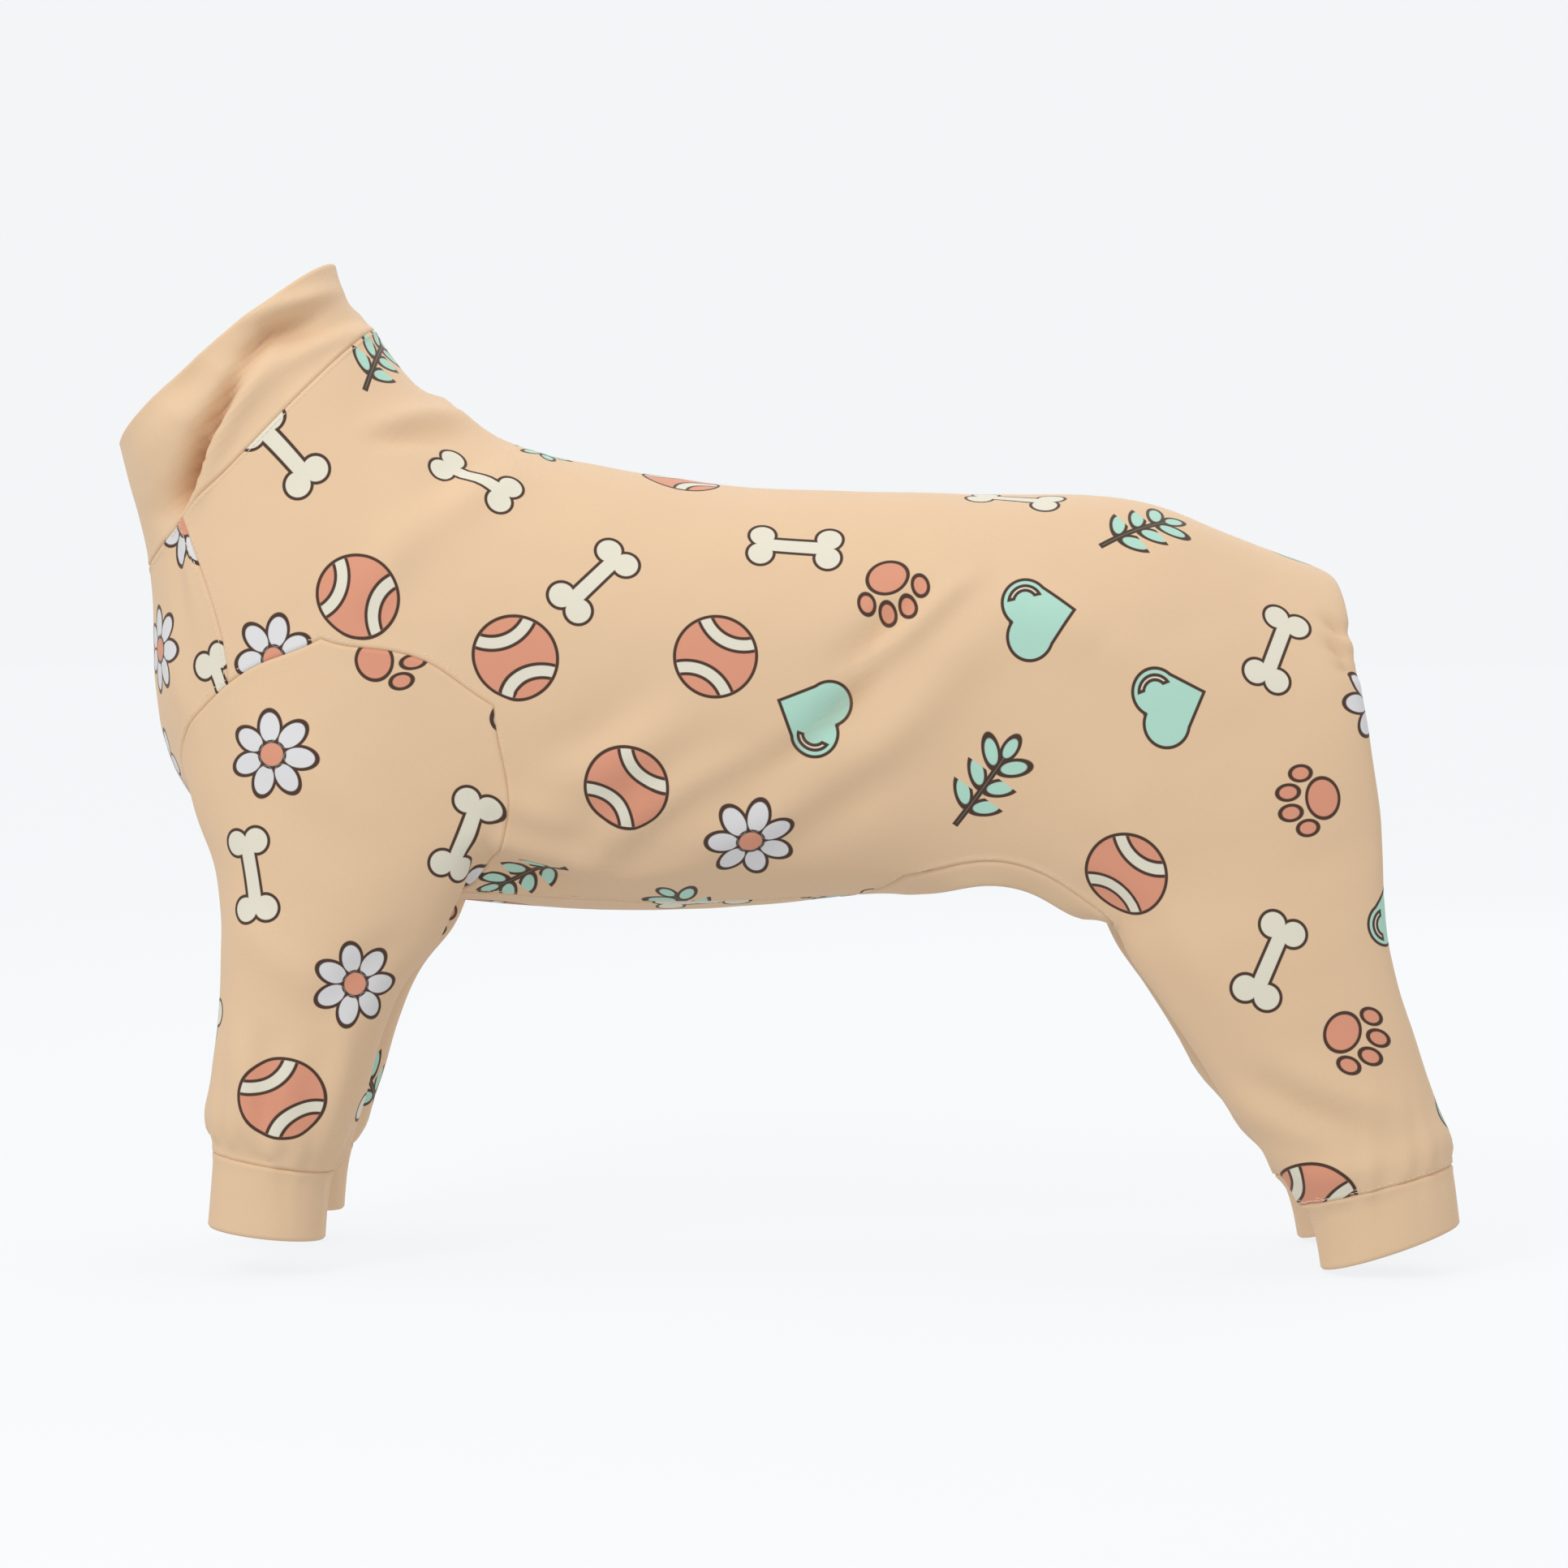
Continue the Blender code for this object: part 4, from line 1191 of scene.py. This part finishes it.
def stitches(name, lines, surface, shift, material):
    """Short threads in a row along each line, shifted sideways into the panel and laid on the cloth."""
    tree = BVHTree.FromPolygons([Vector(v.co) for v in surface.data.vertices], [tuple(p.vertices) for p in surface.data.polygons])
    middle = np.array([v.co for v in surface.data.vertices]).mean(axis=0)
    places, faces = [], []
    around = 6
    profile_rows = ((-0.5, 0.35), (-0.38, 0.85), (0.0, 1.0), (0.38, 0.85), (0.5, 0.35))
    for points, normals in lines:
        steps = np.linalg.norm(np.diff(points, axis=0), axis=1)
        so_far = np.concatenate([[0], np.cumsum(steps)])
        count = int(so_far[-1] / STITCH_PITCH)
        for n in range(count):
            at = (n + 0.5) * so_far[-1] / count
            here = np.array([np.interp(at, so_far, points[:, k]) for k in range(3)])
            ahead = np.array([np.interp(at + 0.001, so_far, points[:, k]) for k in range(3)])
            behind = np.array([np.interp(at - 0.001, so_far, points[:, k]) for k in range(3)])
            out = np.array([np.interp(at, so_far, normals[:, k]) for k in range(3)])
            run = ahead - behind
            if np.linalg.norm(run) < 1e-6:
                continue
            run /= np.linalg.norm(run)
            aside = np.cross(out, run)
            aside /= np.linalg.norm(aside)
            if shift:
                trial = here + aside * 0.004
                other = here - aside * 0.004
                near = tree.find_nearest(Vector(trial))[3]
                far = tree.find_nearest(Vector(other))[3]
                here = here + (aside if near < far else -aside) * shift
            found, normal, _, _ = tree.find_nearest(Vector(here))
            base = np.array(found)
            normal = np.array(normal)
            if normal @ out < 0:
                normal = -normal
            aside = np.cross(normal, run)
            aside /= max(np.linalg.norm(aside), 1e-9)
            start = len(places)
            for along, share in profile_rows:
                centre = base + run * along * STITCH_LONG + normal * THREAD * 0.15
                for k in range(around):
                    turn = 2 * math.pi * k / around
                    offset = aside * math.cos(turn) + normal * 0.7 * math.sin(turn)
                    places.append(tuple(centre + offset * share * THREAD / 2))
            for row in range(len(profile_rows) - 1):
                for k in range(around):
                    k_next = (k + 1) % around
                    a = start + row * around
                    faces.append((a + k, a + k_next, a + around + k_next, a + around + k))
            faces.append(tuple(start + k for k in reversed(range(around))))
            faces.append(tuple(start + (len(profile_rows) - 1) * around + k for k in range(around)))
    mesh = bpy.data.meshes.new(name)
    mesh.from_pydata(places, [], faces)
    mesh.materials.append(material)
    mesh.shade_smooth()
    thread = bpy.data.objects.new(name, mesh)
    bpy.context.scene.collection.objects.link(thread)
    return thread


# Half width of the stage, the gap under the cuffs, and the light of the sky from below and above
STAGE = 12.0
FLOOR_GAP = 0.002
SKY_LOW = 0.60
SKY_HIGH = 0.78


def studio():
    """Pale floor inside a pale dome, soft lights and the camera."""
    floor = bpy.data.meshes.new("floor")
    around = [2 * math.pi * k / 96 for k in range(96)]
    height = cad_box[0].z - FLOOR_GAP
    floor.from_pydata([(STAGE * math.cos(a), STAGE * math.sin(a), height) for a in around], [], [range(96)])
    dome = bpy.data.meshes.new("backdrop")
    ball = bmesh.new()
    bmesh.ops.create_uvsphere(ball, u_segments=96, v_segments=48, radius=STAGE)
    bmesh.ops.reverse_faces(ball, faces=ball.faces)
    ball.to_mesh(dome)
    ball.free()
    dome.shade_smooth()
    s = Shader("backdrop_paper")
    s.surface.inputs["Base Color"].default_value = (0.12, 0.12, 0.12, 1)
    s.surface.inputs["Roughness"].default_value = 1.0
    s.surface.inputs["Specular IOR Level"].default_value = 0.0
    s.surface.inputs["Emission Color"].default_value = (0.915, 0.935, 0.955, 1)
    s.surface.inputs["Emission Strength"].default_value = 0.89
    for mesh in (floor, dome):
        mesh.materials.append(s.material)
        stage = bpy.data.objects.new(mesh.name, mesh)
        bpy.context.scene.collection.objects.link(stage)
        stage.visible_diffuse = False
        stage.visible_glossy = False
        stage.visible_shadow = False
    bpy.context.scene.view_settings.view_transform = "Standard"

    world = bpy.data.worlds.new("studio")
    bpy.context.scene.world = world
    world.use_nodes = True
    tree = world.node_tree
    sky = tree.nodes["Background"]
    way = tree.nodes.new("ShaderNodeTexCoord")
    parts = tree.nodes.new("ShaderNodeSeparateXYZ")
    tree.links.new(way.outputs["Generated"], parts.inputs[0])
    climb = tree.nodes.new("ShaderNodeMapRange")
    for socket, value in (("From Min", -1.0), ("From Max", 1.0), ("To Min", SKY_LOW), ("To Max", SKY_HIGH)):
        climb.inputs[socket].default_value = value
    tree.links.new(parts.outputs[2], climb.inputs["Value"])
    tree.links.new(climb.outputs["Result"], sky.inputs["Strength"])
    sky.inputs["Color"].default_value = (1.0, 1.0, 1.0, 1)
    for name, place, aim, size, power, colour in (
        ("key", (-1.1, -1.9, 1.5), (0.0, 0.0, -0.15), 0.9, 23.0, (1.0, 0.985, 0.96)),
        ("top", (0.3, 0.1, 2.2), (0.0, 0.0, -0.15), 1.2, 5.0, (1.0, 1.0, 1.0)),
        ("back", (0.9, 2.0, 1.2), (0.0, 0.0, -0.15), 1.4, 9.0, (1.0, 1.0, 1.0)),
    ):
        lamp = bpy.data.lights.new(name, "AREA")
        lamp.shape = "DISK"
        lamp.size = size
        lamp.energy = power
        lamp.color = colour
        light = bpy.data.objects.new(name, lamp)
        light.location = place
        light.rotation_euler = (Vector(aim) - Vector(place)).to_track_quat("-Z", "Y").to_euler()
        bpy.context.scene.collection.objects.link(light)

    lens = bpy.data.cameras.new("camera")
    lens.lens = 118.4
    lens.sensor_width = 36
    camera = bpy.data.objects.new("camera", lens)
    camera.location = (0.0006, -2.7, -0.0204)
    camera.rotation_euler = (Vector((0.0006, 0, -0.1527)) - camera.location).to_track_quat("-Z", "Y").to_euler()
    bpy.context.scene.collection.objects.link(camera)
    bpy.context.scene.camera = camera



def main():
    studio()
    printed_cloth = jersey("printed_jersey", PEACH, print_it=True)
    plain_cloth = jersey("plain_jersey", PEACH)
    inside_cloth = jersey("jersey_inside", INSIDE)
    thread = thread_material()
    source = worn_cloth()
    made = {}
    for index, panel in enumerate(PANELS):
        names = PIECE_NAMES[panel]
        for name, side in zip(names, (-1, 1) if len(names) == 2 else (0,)):
            outer = printed_cloth if panel in ("chest_panel", "body_panel", "sleeve") else plain_cloth
            piece, size, area, edges = cloth_piece(name, source, index, side, (outer, inside_cloth))
            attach(piece, "root")
            if panel == "body_panel":
                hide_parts("body_panel", "rump_panel", "hind_leg_left", "hind_leg_right")
            else:
                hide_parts(name)
            made[name] = (piece, size, area, edges)
    collar, binding = PANELS.index("collar"), PANELS.index("opening_binding")
    rows = []
    for owner in ("body_panel", "chest_panel"):
        piece, _, _, edges = made[owner]
        lines = stitch_lines(edges, 2, collar)
        rows.append(stitches("collar_stitches_" + owner, lines, piece, 0.0008, thread))
    piece, _, _, edges = made["body_panel"]
    rows.append(stitches("band_stitches", stitch_lines(edges, 2, binding), piece, 0.0006, thread))
    for row in rows:
        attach(row, "root")


main()
bpy.context.view_layer.update()
